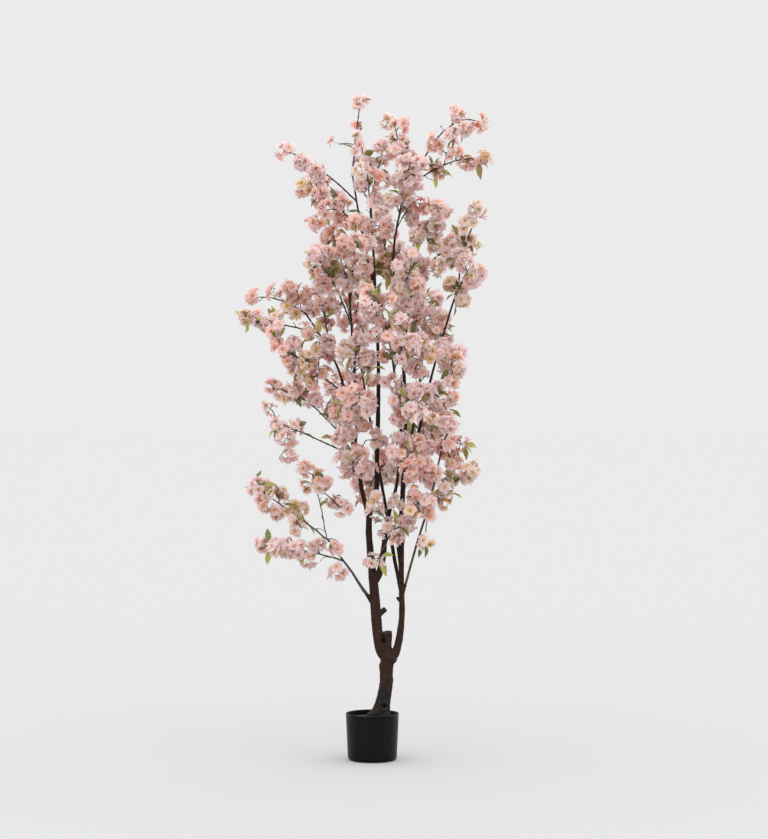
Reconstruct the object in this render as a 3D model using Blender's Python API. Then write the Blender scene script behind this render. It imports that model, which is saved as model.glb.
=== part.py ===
"""Artificial cherry blossom tree in a plain black nursery pot.

Metres, +Z up, -Y is the front. The origin is the middle of the pot's flat underside.
A short trunk stands in the filled pot and forks into two main stems. Lesser stems and
boughs leave those, and masses of blossom grow from the boughs by one seeded rule.
"""

import math
import random
from collections import namedtuple

import bmesh
import bpy
import numpy as np

GAP = 0.0003  # between pieces that touch

# The pot and what fills it
POT_HEIGHT = 0.148
POT_RIM_RADIUS = 0.084
POT_FOOT_RADIUS = 0.078
POT_FOOT_ROUND = 0.012
POT_WALL = 0.002
POT_RIM_ROUND = 0.0005
POT_SIDES = 28
FOOT_ARC_POINTS = 3
FILL_TOP = 0.135
FILL_EDGE_DROP = 0.003
FILL_LEVEL_RADIUS = 0.060

# The trunk: x, y, z and radius from the flat cut at the fill to the sawn stub in the fork
TRUNK = [
    (0.028, 0.000, FILL_TOP + GAP, 0.024), (0.034, 0.000, 0.179, 0.023),
    (0.042, 0.000, 0.227, 0.021), (0.045, 0.000, 0.277, 0.020), (0.047, 0.000, 0.322, 0.021),
    (0.047, 0.000, 0.355, 0.015), (0.047, -0.002, 0.386, 0.015), (0.0455, -0.004, 0.405, 0.0172),
]
TRUNK_SIDES = 14
TRUNK_STEP = 0.020
ROOT_LOBES = [(180, 0.028, 0.016), (65, 0.010, 0.030), (300, 0.012, 0.025)]  # degrees, reach, height
LOBE_SHARPNESS = 4

# Stems and boughs, each from the axis of the limb that carries it: x, y, z and radius
LIMBS = {
    "left_stem": [
        (0.043, 0.000, 0.315, 0.014), (0.024, 0.000, 0.353, 0.0155), (0.013, 0.000, 0.442, 0.0165),
        (0.006, 0.000, 0.537, 0.0150), (-0.004, 0.000, 0.632, 0.0120), (-0.011, 0.000, 0.727, 0.010),
        (-0.006, 0.000, 0.790, 0.009), (0.013, 0.010, 0.860, 0.0083), (0.015, 0.010, 0.964, 0.0075),
        (0.019, 0.010, 1.139, 0.0065), (0.018, 0.010, 1.297, 0.0053), (0.005, 0.000, 1.576, 0.0040),
        (-0.004, 0.000, 1.756, 0.0030), (0.005, 0.000, 1.817, 0.0026),
    ],
    "right_stem": [
        (0.053, 0.000, 0.312, 0.014), (0.073, 0.000, 0.337, 0.0135), (0.086, 0.000, 0.388, 0.0112),
        (0.094, 0.000, 0.467, 0.0093), (0.092, 0.000, 0.584, 0.0088), (0.095, 0.020, 0.805, 0.008),
        (0.104, 0.020, 0.996, 0.0070), (0.102, 0.010, 1.186, 0.0058), (0.089, 0.000, 1.360, 0.0048),
        (0.072, 0.000, 1.494, 0.0042), (0.067, 0.000, 1.598, 0.0037), (0.081, 0.000, 1.703, 0.0031),
        (0.113, 0.000, 1.810, 0.0025),
    ],
    "left_fork": [
        (-0.009, 0.000, 0.759, 0.007), (-0.033, -0.005, 0.854, 0.0067), (-0.044, -0.015, 0.940, 0.0060),
        (-0.054, -0.020, 0.981, 0.0056), (-0.050, -0.020, 1.060, 0.0050),
        (-0.056, -0.010, 1.202, 0.0043), (-0.064, 0.000, 1.341, 0.0037), (-0.074, 0.010, 1.488, 0.0029),
    ],
    "front_stem": [
        (0.004, 0.000, 0.560, 0.0100), (0.023, -0.010, 0.594, 0.0102), (0.033, -0.018, 0.642, 0.0100),
        (0.039, -0.026, 0.695, 0.0085), (0.045, -0.033, 0.740, 0.0066), (0.059, -0.042, 0.805, 0.0058),
        (0.079, -0.050, 0.887, 0.0052), (0.090, -0.090, 1.044, 0.0044), (0.068, -0.130, 1.231, 0.0034),
        (0.056, -0.140, 1.308, 0.003),
    ],
    "back_left_stem": [
        (0.091, 0.000, 0.543, 0.0065), (0.072, 0.018, 0.624, 0.006), (0.050, 0.050, 0.756, 0.0055),
        (0.024, 0.085, 0.899, 0.0048), (-0.005, 0.120, 1.059, 0.004), (-0.041, 0.145, 1.270, 0.003),
    ],
    "back_right_stem": [
        (0.092, 0.003, 0.600, 0.006), (0.082, 0.030, 0.680, 0.0056), (0.091, 0.070, 0.781, 0.005),
        (0.121, 0.120, 0.985, 0.004), (0.160, 0.155, 1.254, 0.003),
    ],
    "low_left": [
        (0.008, 0.000, 0.490, 0.0075), (-0.033, -0.008, 0.545, 0.0048), (-0.064, -0.015, 0.594, 0.0037),
        (-0.100, -0.022, 0.643, 0.0033), (-0.134, -0.028, 0.692, 0.0029),
    ],
    "low_right": [
        (0.094, 0.000, 0.512, 0.0046), (0.119, -0.020, 0.608, 0.0038), (0.144, -0.040, 0.697, 0.0036),
        (0.178, -0.055, 0.808, 0.0034), (0.202, -0.065, 0.912, 0.0030), (0.222, -0.070, 1.003, 0.0025),
    ],
    "left_high": [
        (-0.054, -0.020, 0.981, 0.0048), (-0.077, -0.020, 1.044, 0.0045), (-0.085, 0.000, 1.155, 0.0041),
        (-0.125, 0.010, 1.275, 0.0036), (-0.214, 0.010, 1.418, 0.0026),
    ],
    "far_right": [
        (0.102, 0.020, 0.948, 0.006), (0.126, 0.005, 1.003, 0.0054), (0.148, 0.000, 1.044, 0.0050),
        (0.167, -0.010, 1.129, 0.0043), (0.195, -0.020, 1.243, 0.0037), (0.242, -0.020, 1.404, 0.0032),
        (0.271, -0.020, 1.502, 0.0028), (0.277, -0.020, 1.574, 0.0025),
    ],
    "right_high": [
        (0.097, 0.000, 1.272, 0.0046), (0.107, 0.015, 1.355, 0.0042), (0.120, 0.030, 1.457, 0.0037),
        (0.148, 0.040, 1.534, 0.0032), (0.206, 0.040, 1.598, 0.0026),
    ],
    "top_left": [
        (0.009, 0.003, 1.487, 0.004), (-0.020, 0.015, 1.615, 0.0036), (-0.044, 0.020, 1.736, 0.003),
        (-0.065, 0.020, 1.863, 0.0023),
    ],
}
MAIN_STEMS = ("left_stem", "right_stem")
MAIN_STEM_SIDES = 6
LIMB_SIDES = 5
LIMB_STEP = 0.065

# Sawn stubs on the limbs: limb, foot x, y, z, end x, y, z and radius
STUBS = [
    ("trunk", (0.050, -0.006, 0.305), (0.077, -0.020, 0.322), 0.010),
    ("left_stem", (0.012, -0.004, 0.455), (0.042, -0.016, 0.478), 0.0085),
    ("right_stem", (0.092, 0.000, 0.500), (0.078, -0.009, 0.514), 0.005),
]
STUB_WAIST = 0.92  # its middle's radius, as a share of its ends'
CUT_OVERRUN = 0.010  # how far the trunk's cutting copy runs on past its flat foot

# Masses of blossom. Each has one stem, from its limb at this height to its tip, bowed up by
# a share of its length, with blossom from its first share to the tip, within this reach of it.
# Its arms are side twigs. Each leaves its carrier, which is 0 for the stem and then 1 for the
# first arm, at a share of that, and has blossom from its own first share to its tip.
Mass = namedtuple("Mass", "name limb height tip bow first count reach seed arms")
Arm = namedtuple("Arm", "carrier share tip first count")
MASSES = [
    ("low_left_end", "low_left", 0.70, (-0.380, -0.06, 0.872), 0.02, 0.30, 9, 0.030, 22, [
        (0, 0.04, (-0.190, 0.02, 0.902), 0.66, 4), (1, 0.70, (-0.104, -0.02, 0.800), 0.20, 3),
        (0, 0.04, (-0.108, -0.05, 0.695), 0.90, 1)]),
    ("low_left_under", "low_left", 0.63, (-0.338, -0.10, 0.684), 0.03, 0.30, 9, 0.030, 19, [
        (0, 0.35, (-0.213, -0.05, 0.642), 0.80, 1), (0, 0.06, (-0.109, -0.05, 0.600), 0.90, 1)]),
    ("left_mid_end", "left_fork", 0.955, (-0.308, -0.09, 1.072), 0.01, 0.72, 4, 0.022, 49, [
        (0, 0.75, (-0.268, -0.11, 0.985), 0.35, 4), (0, 0.95, (-0.323, -0.05, 1.115), 0.90, 1)]),
    ("left_mid_rise", "left_fork", 0.945, (-0.320, 0.10, 1.177), 0.14, 0.50, 7, 0.022, 16, [
        (0, 0.40, (-0.130, 0.06, 1.145), 0.35, 3), (0, 0.25, (-0.120, 0.03, 1.090), 0.35, 3),
        (0, 0.70, (-0.250, 0.03, 1.210), 0.35, 3)]),
    ("left_shoulder", "left_high", 1.16, (-0.290, -0.13, 1.321), -0.02, 0.30, 8, 0.038, 34, [
        (0, 0.40, (-0.165, -0.06, 1.335), 0.35, 3)]),
    ("left_high_end", "left_high", 1.41, (-0.383, 0.06, 1.468), 0.10, 0.15, 5, 0.022, 5, [
        (0, 0.10, (-0.235, -0.05, 1.480), 0.35, 2)]),
    ("left_high_under", "left_high", 1.35, (-0.388, -0.06, 1.385), 0.03, 0.60, 5, 0.022, 12, []),
    ("left_inner_rise", "left_high", 1.29, (-0.174, 0.14, 1.485), 0.10, 0.40, 7, 0.038, 51, []),
    ("left_rise", "left_fork", 1.38, (-0.183, -0.13, 1.592), 0.08, 0.40, 8, 0.038, 6, []),
    ("left_crown", "left_fork", 1.48, (-0.130, 0.09, 1.686), 0.02, 0.15, 8, 0.041, 53, []),
    ("inner_left_rise", "left_fork", 1.44, (-0.050, -0.14, 1.650), 0.05, 0.20, 8, 0.041, 34, []),
    ("top_left_tip", "top_left", 1.86, (-0.040, 0.02, 2.082), 0.00, 0.20, 4, 0.014, 75, [
        (0, 0.40, (-0.108, 0.02, 1.952), 0.90, 1), (0, 0.06, (-0.035, -0.03, 1.900), 0.60, 2)]),
    ("top_left_arm", "top_left", 1.77, (-0.270, -0.09, 1.919), 0.06, 0.50, 5, 0.020, 18, []),
    ("top_left_low", "top_left", 1.67, (-0.205, 0.13, 1.836), 0.04, 0.35, 8, 0.035, 13, [
        (0, 0.40, (-0.170, 0.03, 1.735), 0.35, 3)]),
    ("centre_top", "left_stem", 1.815, (0.037, 0.07, 1.950), 0.00, 0.15, 6, 0.029, 37, []),
    ("centre_low", "left_stem", 1.60, (-0.016, -0.12, 1.849), 0.05, 0.60, 4, 0.029, 27, [
        (0, 0.30, (0.015, -0.08, 1.683), 0.35, 2)]),
    ("right_top", "right_stem", 1.805, (0.070, 0.00, 2.012), 0.00, 0.05, 9, 0.035, 11, []),
    ("right_top_front", "right_stem", 1.65, (0.118, -0.14, 1.872), 0.05, 0.40, 6, 0.032, 25, [
        (0, 0.30, (0.065, -0.10, 1.775), 0.35, 3), (0, 0.10, (0.130, -0.06, 1.760), 0.35, 3)]),
    ("top_right_tip", "right_stem", 1.78, (0.340, -0.07, 2.008), 0.26, 0.99, 1, 0.022, 62, [
        (0, 0.62, (0.262, -0.04, 2.048), 0.50, 2), (0, 0.72, (0.270, -0.10, 1.968), 0.50, 2),
        (0, 0.45, (0.212, -0.09, 1.935), 0.60, 3)]),
    ("top_right_low", "right_stem", 1.805, (0.357, 0.12, 1.912), 0.12, 0.64, 6, 0.022, 30, [
        (0, 0.30, (0.218, 0.04, 1.858), 0.40, 3), (0, 0.48, (0.236, 0.02, 1.925), 0.80, 1)]),
    ("right_arm", "right_stem", 1.54, (0.225, -0.12, 1.740), 0.03, 0.50, 7, 0.029, 19, [
        (0, 0.15, (0.185, 0.00, 1.545), 0.35, 3)]),
    ("right_high_end", "right_high", 1.59, (0.310, 0.13, 1.659), 0.05, 0.10, 8, 0.032, 73, []),
    ("far_right_top", "far_right", 1.57, (0.335, -0.07, 1.731), 0.05, 0.10, 6, 0.022, 44, []),
    ("far_right_high", "far_right", 1.45, (0.305, -0.12, 1.550), 0.05, 0.10, 7, 0.030, 8, []),
    ("far_right_back", "far_right", 1.33, (0.208, 0.16, 1.389), 0.05, 0.20, 6, 0.035, 6, []),
    ("far_right_mid", "far_right", 1.29, (0.250, -0.15, 1.231), 0.12, 0.30, 7, 0.035, 60, []),
    ("far_right_low", "far_right", 1.16, (0.240, 0.09, 1.105), 0.14, 0.30, 7, 0.035, 5, []),
    ("low_right_top", "low_right", 1.00, (0.246, -0.15, 1.050), 0.05, 0.00, 5, 0.026, 86, [
        (0, 0.10, (0.278, -0.06, 1.000), 0.35, 2), (0, 0.15, (0.246, -0.03, 0.945), 0.50, 2)]),
    ("low_right_end", "low_right", 0.76, (0.318, -0.08, 0.935), 0.07, 0.25, 9, 0.028, 9, [
        (0, 0.06, (0.166, -0.09, 0.694), 0.90, 1)]),
    ("low_right_in", "low_right", 0.80, (0.140, -0.17, 0.820), 0.05, 0.20, 5, 0.029, 67, []),
    ("front_low", "front_stem", 0.67, (0.100, -0.16, 0.740), 0.15, 0.40, 6, 0.035, 23, [
        (0, 0.30, (0.034, -0.10, 0.816), 0.45, 3), (0, 0.12, (0.014, -0.05, 0.628), 0.80, 2)]),
    ("front_mid", "front_stem", 0.94, (0.125, -0.20, 0.968), 0.15, 0.30, 7, 0.044, 1, [
        (0, 0.40, (0.165, -0.13, 0.910), 0.35, 3)]),
    ("front_left", "left_fork", 0.89, (-0.062, -0.14, 0.942), 0.15, 0.25, 7, 0.038, 85, [
        (0, 0.30, (-0.105, -0.08, 1.015), 0.35, 3), (0, 0.55, (-0.020, -0.10, 1.012), 0.50, 2)]),
    ("front_left_up", "left_fork", 1.04, (-0.040, -0.20, 1.131), 0.10, 0.30, 7, 0.038, 64, [
        (0, 0.40, (-0.080, -0.10, 1.120), 0.35, 2)]),
    ("left_centre", "left_fork", 1.20, (-0.050, -0.14, 1.290), 0.05, 0.25, 6, 0.040, 42, [
        (0, 0.40, (-0.010, -0.09, 1.240), 0.35, 2)]),
    ("front_high", "front_stem", 1.23, (0.110, -0.25, 1.334), 0.05, 0.20, 7, 0.048, 80, [
        (0, 0.30, (0.150, -0.16, 1.260), 0.35, 4)]),
    ("front_crown", "front_stem", 1.305, (0.019, -0.22, 1.444), 0.05, 0.10, 9, 0.048, 24, []),
    ("front_right", "front_stem", 1.06, (0.110, -0.24, 1.137), 0.05, 0.30, 7, 0.041, 45, [
        (0, 0.30, (0.090, -0.16, 1.215), 0.35, 3), (0, 0.40, (0.178, -0.14, 1.228), 0.40, 3)]),
    ("crown_front", "right_stem", 1.40, (0.117, -0.18, 1.538), 0.05, 0.30, 8, 0.048, 68, []),
    ("back_left_mid", "back_left_stem", 1.04, (-0.110, 0.22, 1.191), 0.05, 0.30, 6, 0.044, 50, [
        (0, 0.35, (-0.040, 0.13, 1.120), 0.35, 3)]),
    ("back_left_top", "back_left_stem", 1.265, (-0.091, 0.21, 1.469), 0.05, 0.10, 7, 0.048, 20, [
        (0, 0.50, (-0.010, 0.11, 1.560), 0.35, 3)]),
    ("back_centre", "back_left_stem", 0.92, (0.063, 0.21, 0.917), 0.10, 0.30, 6, 0.044, 66, [
        (0, 0.35, (-0.020, 0.10, 0.840), 0.35, 3)]),
    ("back_right_mid", "back_right_stem", 1.01, (0.190, 0.23, 1.042), 0.05, 0.30, 6, 0.044, 38, [
        (0, 0.35, (0.150, 0.11, 0.900), 0.35, 4)]),
    ("back_right_top", "back_right_stem", 1.25, (0.172, 0.23, 1.469), 0.05, 0.10, 7, 0.048, 81, [
        (0, 0.50, (0.130, 0.11, 1.400), 0.35, 3)]),
    ("back_crown", "right_stem", 1.46, (0.020, 0.20, 1.700), 0.05, 0.30, 7, 0.048, 33, []),
]
STEM_STEP = 0.050
STEM_RADIUS = (0.0028, 0.0016)  # at its foot and at its tip
ARM_BOW = 0.08
TWIG_RADIUS = 0.0014
TWIG_SHARES = (0.5, 1.15)  # a twig's length, as shares of the mass's reach
TWIG_START = 0.006  # the length at its foot that may run along its stem
TURN = 2.4  # radians round the stem from one bloom to the next
LEAN_OUT = 0.5  # how far a twig leans towards the tip of its stem
BLOOM_RADIUS = (0.028, 0.035)
LEAF_LENGTH = (0.045, 0.060)
LEAF_WIDTH = 0.4  # this, its thickness and the place of its waist are shares of its length
LEAF_THICKNESS = 0.03
LEAF_WAIST = 0.45
LEAF_CHANCE = 0.27
MOST_LEAVES = 1  # on one mass
LEAF_TURN = 2.0  # radians round the stem from its bloom
LEAF_LEAN = 0.9
BLOOM_SIDES = 5
BLOOM_FRONT = 0.55  # of its radius, from its rim forward
BLOOM_BACK = 0.40
TRIES = 9
RETRY_TURN = 0.9
OWN_SPACING = 0.88  # least distance between blooms of one mass, as a share of their two radii
CLEARANCE = 0.0012  # between two masses, and between a mass and any limb but its own

SHARP_DEGREES = 50
WELD = 0.000002  # points nearer than this become one

POT_COLOUR = (0.012, 0.012, 0.013)
FILL_COLOUR = (0.030, 0.022, 0.017)
BARK_COLOUR = (0.060, 0.040, 0.030)
BLOSSOM_COLOURS = [
    (0.80, 0.47, 0.44), (0.72, 0.40, 0.36), (0.86, 0.60, 0.56), (0.76, 0.50, 0.42), (0.66, 0.34, 0.30),
]


# --- Curves and distances -------------------------------------------------------------------
def unit(vector):
    return vector / np.linalg.norm(vector)


def smooth_curve(rows, step):
    """Rows of x, y, z and radius about every step along a smooth curve through the given rows."""
    rows = np.array(rows, float)
    rows = np.vstack([2 * rows[0] - rows[1], rows, 2 * rows[-1] - rows[-2]])
    curve = []
    for before, start, end, after in zip(rows, rows[1:], rows[2:], rows[3:]):
        count = max(1, round(np.linalg.norm((end - start)[:3]) / step))
        for t in np.arange(count) / count:
            linear = end - before
            square = 2 * before - 5 * start + 4 * end - after
            cube = 3 * start - before - 3 * end + after
            curve.append(start + 0.5 * t * (linear + t * (square + t * cube)))
    curve.append(rows[-2])
    return np.array(curve)


def row_at_height(curve, height):
    """The curve's row where it passes this height, or its last row."""
    for start, end in zip(curve, curve[1:]):
        if start[2] <= height < end[2]:
            return start + (end - start) * (height - start[2]) / (end[2] - start[2])
    return curve[-1]


def row_at_share(curve, share):
    """The curve's row at this share of its length, and its direction there."""
    place = share * (len(curve) - 1)
    index = min(int(place), len(curve) - 2)
    span = curve[index + 1] - curve[index]
    return curve[index] + span * (place - index), unit(span[:3])


def bowed_curve(start, tip, bow, radii):
    """A stem from start to tip whose middle is raised by a share of its length."""
    start, tip = np.array(start), np.array(tip)
    length = np.linalg.norm(tip - start)
    raised = (start + tip) / 2 + np.array([0, 0, 2 * bow * length])
    count = max(2, round(length / STEM_STEP))
    rows = []
    for t in np.linspace(0, 1, count + 1):
        point = (1 - t) ** 2 * start + 2 * t * (1 - t) * raised + t * t * tip
        rows.append([*point, radii[0] + (radii[1] - radii[0]) * t])
    return np.array(rows)


def segment_distances(start, end, starts, ends):
    """Distances from one segment to each of many."""
    along, spans, offset = end - start, ends - starts, start - starts
    a, e = along @ along + 1e-12, np.einsum("ij,ij->i", spans, spans) + 1e-12
    b, c, f = spans @ along, offset @ along, np.einsum("ij,ij->i", spans, offset)
    s = np.clip((b * f - c * e) / np.maximum(a * e - b * b, 1e-12), 0, 1)
    t = np.clip((b * s + f) / e, 0, 1)
    s = np.clip((b * t - c) / a, 0, 1)
    near = start + np.outer(s, along) - starts - spans * t[:, None]
    return np.linalg.norm(near, axis=1)


# --- The rule by which a mass grows ---------------------------------------------------------
class Space:
    """The room that limbs and masses take up, as capsules with the name of their owner."""

    def __init__(self):
        self.capsules = np.zeros((0, 7))
        self.owners = []

    def add(self, owner, start, end, radius):
        self.capsules = np.vstack([self.capsules, [*start, *end, radius]])
        self.owners.append(owner)

    def add_curve(self, owner, curve):
        for start, end in zip(curve, curve[1:]):
            self.add(owner, start[:3], end[:3], max(start[3], end[3]))

    def is_clear(self, start, end, radius, friends):
        """Whether a capsule keeps its clearance from every capsule with another owner."""
        others = np.array([owner not in friends for owner in self.owners])
        rows = self.capsules[others]
        if not len(rows):
            return True
        distances = segment_distances(np.array(start), np.array(end), rows[:, :3], rows[:, 3:6])
        return bool((distances > rows[:, 6] + radius + CLEARANCE).all())


def side_direction(axis, turn, lean):
    """A direction out of a stem, turned about its axis and leaning along it."""
    side = np.cross(axis, [0, 0, 1])
    side = unit(side) if np.linalg.norm(side) > 0.1 else np.array([1.0, 0, 0])
    up = np.cross(side, axis)
    return unit(side * math.cos(turn) + up * math.sin(turn) + axis * lean)


def grow_along(stem, first, count, reach, rng):
    """Twigs off one stem, as (foot, axis, direction, length, turn), the last on the stem's tip."""
    turn = rng.uniform(0, 2 * math.pi)
    twigs = []
    for index in range(count):
        share = 1 - (1 - first) * (count - 1 - index) / max(1, count - 1)
        row, axis = row_at_share(stem, share)
        turn += TURN
        at_tip = index == count - 1
        length = 0.0 if at_tip else rng.uniform(*TWIG_SHARES) * reach
        direction = axis if at_tip else side_direction(axis, turn, LEAN_OUT)
        twigs.append((row[:3], axis, direction, length, turn))
    return twigs


def mass_stems(mass, limbs):
    """The stem of a mass, then its arms, as (curve, first share, count) each."""
    foot = row_at_height(limbs[mass.limb], mass.height)[:3]
    stems = [(bowed_curve(foot, mass.tip, mass.bow, STEM_RADIUS), mass.first, mass.count)]
    for arm in map(Arm._make, mass.arms):
        foot = row_at_share(stems[arm.carrier][0], arm.share)[0][:3]
        curve = bowed_curve(foot, arm.tip, ARM_BOW, (STEM_RADIUS[1], STEM_RADIUS[1]))
        stems.append((curve, arm.first, arm.count))
    return stems


def fits(name, centre, radius, blooms, space):
    """Whether a bloom stands far enough from the others of its mass, and clear of the rest."""
    for foot, other, direction, other_radius in blooms:
        if np.linalg.norm(centre - other) <= OWN_SPACING * (radius + other_radius):
            return False
    return space.is_clear(centre, centre, radius, (name,))


def grow_mass(mass, stems, space):
    """The blooms and leaves of one mass, with what would touch a neighbour left out."""
    rng = random.Random(f"{mass.name} {mass.seed}")
    blooms, leaves = [], []
    for stem, first, count in stems:
        for foot, axis, direction, length, turn in grow_along(stem, first, count, mass.reach, rng):
            radius = rng.uniform(*BLOOM_RADIUS)
            for attempt in range(TRIES):
                centre = foot + direction * length
                if fits(mass.name, centre, radius, blooms, space):
                    break
                direction = side_direction(axis, turn + RETRY_TURN * (attempt + 1), LEAN_OUT)
                length = mass.reach
            else:
                continue
            start = foot + direction * TWIG_START
            if length > 0 and not space.is_clear(start, centre, TWIG_RADIUS, (mass.name,)):
                continue
            space.add(mass.name, centre, centre, radius)
            blooms.append((foot, centre, direction, radius))
            if rng.random() < LEAF_CHANCE:
                leaf = side_direction(axis, turn + LEAF_TURN, LEAF_LEAN)
                leaf_length = rng.uniform(*LEAF_LENGTH)
                room = 0.5 * LEAF_WIDTH * leaf_length
                clear = space.is_clear(foot, foot + leaf * leaf_length, room, (mass.name, mass.limb))
                if clear and len(leaves) < MOST_LEAVES:
                    leaves.append((foot, leaf, leaf_length))
    return blooms, leaves


# --- Meshes ---------------------------------------------------------------------------------
def frames_along(curve):
    """Two cross directions for each row of a curve, carried along it without twist."""
    points = curve[:, :3]
    axes = np.gradient(points, axis=0)
    axes /= np.linalg.norm(axes, axis=1)[:, None]
    side = unit(np.cross(axes[0], [0.3, 1.0, 0.1]))
    frames = []
    for axis in axes:
        side = unit(side - axis * (side @ axis))
        frames.append((side, np.cross(axis, side)))
    return frames


def ring(bm, centre, side, up, radii):
    """Points round a centre, one for each radius."""
    points = []
    for index, radius in enumerate(radii):
        angle = 2 * math.pi * index / len(radii)
        points.append(bm.verts.new(centre + radius * (side * math.cos(angle) + up * math.sin(angle))))
    return points


def bridge(bm, first, second):
    """Faces between two rings that run the same way: four-sided where their counts are alike."""
    if len(first) == len(second):
        for i, point in enumerate(first):
            bm.faces.new((first[i - 1], point, second[i], second[i - 1]))
        return
    i = j = 0
    while i < len(first) or j < len(second):
        a, b = first[i % len(first)], second[j % len(second)]
        if (i + 1) * len(second) <= (j + 1) * len(first):
            i += 1
            bm.faces.new((a, first[i % len(first)], b))
        else:
            j += 1
            bm.faces.new((a, second[j % len(second)], b))


def fan(bm, points, tip):
    for start, end in zip(points, points[1:] + points[:1]):
        bm.faces.new((start, end, tip))


def mesh_from(bm, name):
    """A mesh with its faces pointing out, from a bmesh that is then freed."""
    bmesh.ops.recalc_face_normals(bm, faces=bm.faces[:])
    if bm.calc_volume(signed=True) < 0:
        bmesh.ops.reverse_faces(bm, faces=bm.faces[:])
    mesh = bpy.data.meshes.new(name)
    bm.to_mesh(mesh)
    bm.free()
    return mesh


def tube_mesh(name, curve, sides, swell=0.0, shape=None, fixed=False):
    """A capped tube along rows of x, y, z and radius. Its faces stand out by the swell.

    Fixed rings all face along the chord, which keeps the faces between them flat."""
    bm = bmesh.new()
    extra = swell / math.cos(math.pi / sides)
    rings = []
    frames = [frames_along(curve[[0, -1]])[0]] * len(curve) if fixed else frames_along(curve)
    for row, (side, up) in zip(curve, frames):
        radii = [row[3] + extra] * sides
        if shape:
            radii = [radius + shape(row, side, up, index / sides) for index, radius in enumerate(radii)]
        rings.append(ring(bm, row[:3], side, up, radii))
    for first, second in zip(rings, rings[1:]):
        bridge(bm, first, second)
    bm.faces.new(rings[0])
    bm.faces.new(rings[-1])
    return mesh_from(bm, name)


def turned_mesh(name, profile, sides):
    """A closed body turned about Z from (radius, z) points that start and end on the axis."""
    bm = bmesh.new()
    side, up = np.array([1.0, 0, 0]), np.array([0, 1.0, 0])
    rings = [ring(bm, np.array([0, 0, z]), side, up, [radius] * sides) for radius, z in profile[1:-1]]
    for first, second in zip(rings, rings[1:]):
        bridge(bm, first, second)
    fan(bm, rings[0], bm.verts.new((0, 0, profile[0][1])))
    fan(bm, rings[-1], bm.verts.new((0, 0, profile[-1][1])))
    return mesh_from(bm, name)


def bloom_mesh(foot, centre, direction, radius):
    """A cluster of blossom as one faceted body, with a three-sided stalk if it stands off its stem."""
    bm = bmesh.new()
    side = unit(np.cross(direction, [0.2, 0.3, 1.0]))
    up = np.cross(direction, side)
    rim = ring(bm, centre, side, up, [radius] * BLOOM_SIDES)
    fan(bm, rim, bm.verts.new(centre + direction * radius * BLOOM_FRONT))
    back = centre - direction * radius * BLOOM_BACK
    if (back - foot) @ direction < TWIG_RADIUS:
        fan(bm, rim, bm.verts.new(back))
        return mesh_from(bm, "bloom")
    neck = ring(bm, back, side, up, [TWIG_RADIUS] * 3)
    base = ring(bm, foot, side, up, [TWIG_RADIUS] * 3)
    bridge(bm, neck, rim)
    bridge(bm, base, neck)
    bm.faces.new(base)
    return mesh_from(bm, "bloom")


def leaf_mesh(foot, direction, length):
    """A leaf of eight faces: foot, tip, two edges and a ridge above and below."""
    bm = bmesh.new()
    across = unit(np.cross(direction, [0, 0, 1.0])) * 0.5 * LEAF_WIDTH * length
    up = unit(np.cross(direction, across)) * 0.5 * LEAF_THICKNESS * length
    middle = foot + direction * length * LEAF_WAIST
    waist = [bm.verts.new(middle + corner) for corner in (across, up, -across, -up)]
    fan(bm, waist, bm.verts.new(foot))
    fan(bm, waist, bm.verts.new(foot + direction * length))
    return mesh_from(bm, "leaf")


# --- Joining and cutting --------------------------------------------------------------------
def is_closed(mesh):
    bm = bmesh.new()
    bm.from_mesh(mesh)
    closed = len(bm.faces) > 0 and all(edge.is_manifold for edge in bm.edges)
    bm.free()
    return closed


def boolean_mesh(mesh, others, operation, solver):
    """The mesh joined with, or cut by, all the others at once."""
    helpers = bpy.data.collections.new("helpers")
    bpy.context.scene.collection.children.link(helpers)
    for other in others:
        helpers.objects.link(bpy.data.objects.new("helper", other))
    body = bpy.data.objects.new("body", mesh)
    bpy.context.scene.collection.objects.link(body)
    modifier = body.modifiers.new("boolean", "BOOLEAN")
    modifier.operand_type = "COLLECTION"
    modifier.collection = helpers
    modifier.operation = operation
    modifier.solver = solver
    graph = bpy.context.evaluated_depsgraph_get()
    result = bpy.data.meshes.new_from_object(body.evaluated_get(graph))
    for helper in [body, *helpers.objects]:
        bpy.data.objects.remove(helper)
    bpy.data.collections.remove(helpers)
    return result


def island_of(face):
    """All the faces reached from one face across edges."""
    found, waiting = {face}, [face]
    while waiting:
        for edge in waiting.pop().edges:
            for linked in edge.link_faces:
                if linked not in found:
                    found.add(linked)
                    waiting.append(linked)
    return found


def signed_volume(faces):
    total = 0.0
    for face in faces:
        first, *others = [vert.co for vert in face.verts]
        for second, third in zip(others, others[1:]):
            total += first.dot(second.cross(third)) / 6
    return total


def largest_body(mesh):
    """The mesh's largest body alone: scraps and sealed hollows go."""
    bm = bmesh.new()
    bm.from_mesh(mesh)
    bmesh.ops.remove_doubles(bm, verts=bm.verts[:], dist=WELD)
    left, islands = set(bm.faces), []
    while left:
        island = island_of(next(iter(left)))
        islands.append(island)
        left -= island
    keep = max(islands, key=signed_volume)
    bmesh.ops.delete(bm, geom=[face for face in bm.faces if face not in keep], context="FACES")
    bm.to_mesh(mesh)
    bm.free()
    return mesh


def combined(mesh, others, operation):
    """One closed body from a Boolean on a collection, by whichever solver closes it, or None."""
    for solver in ("EXACT", "MANIFOLD"):
        result = largest_body(boolean_mesh(mesh, others, operation, solver))
        if is_closed(result):
            return result
    return None


# --- Objects --------------------------------------------------------------------------------
def plain_material(name, colour, roughness):
    material = bpy.data.materials.new(name)
    material.use_nodes = True
    shader = material.node_tree.nodes["Principled BSDF"]
    shader.inputs["Base Color"].default_value = (*colour, 1.0)
    shader.inputs["Roughness"].default_value = roughness
    shader.inputs["Metallic"].default_value = 0.0
    material.diffuse_color = (*colour, 1.0)
    return material


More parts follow.
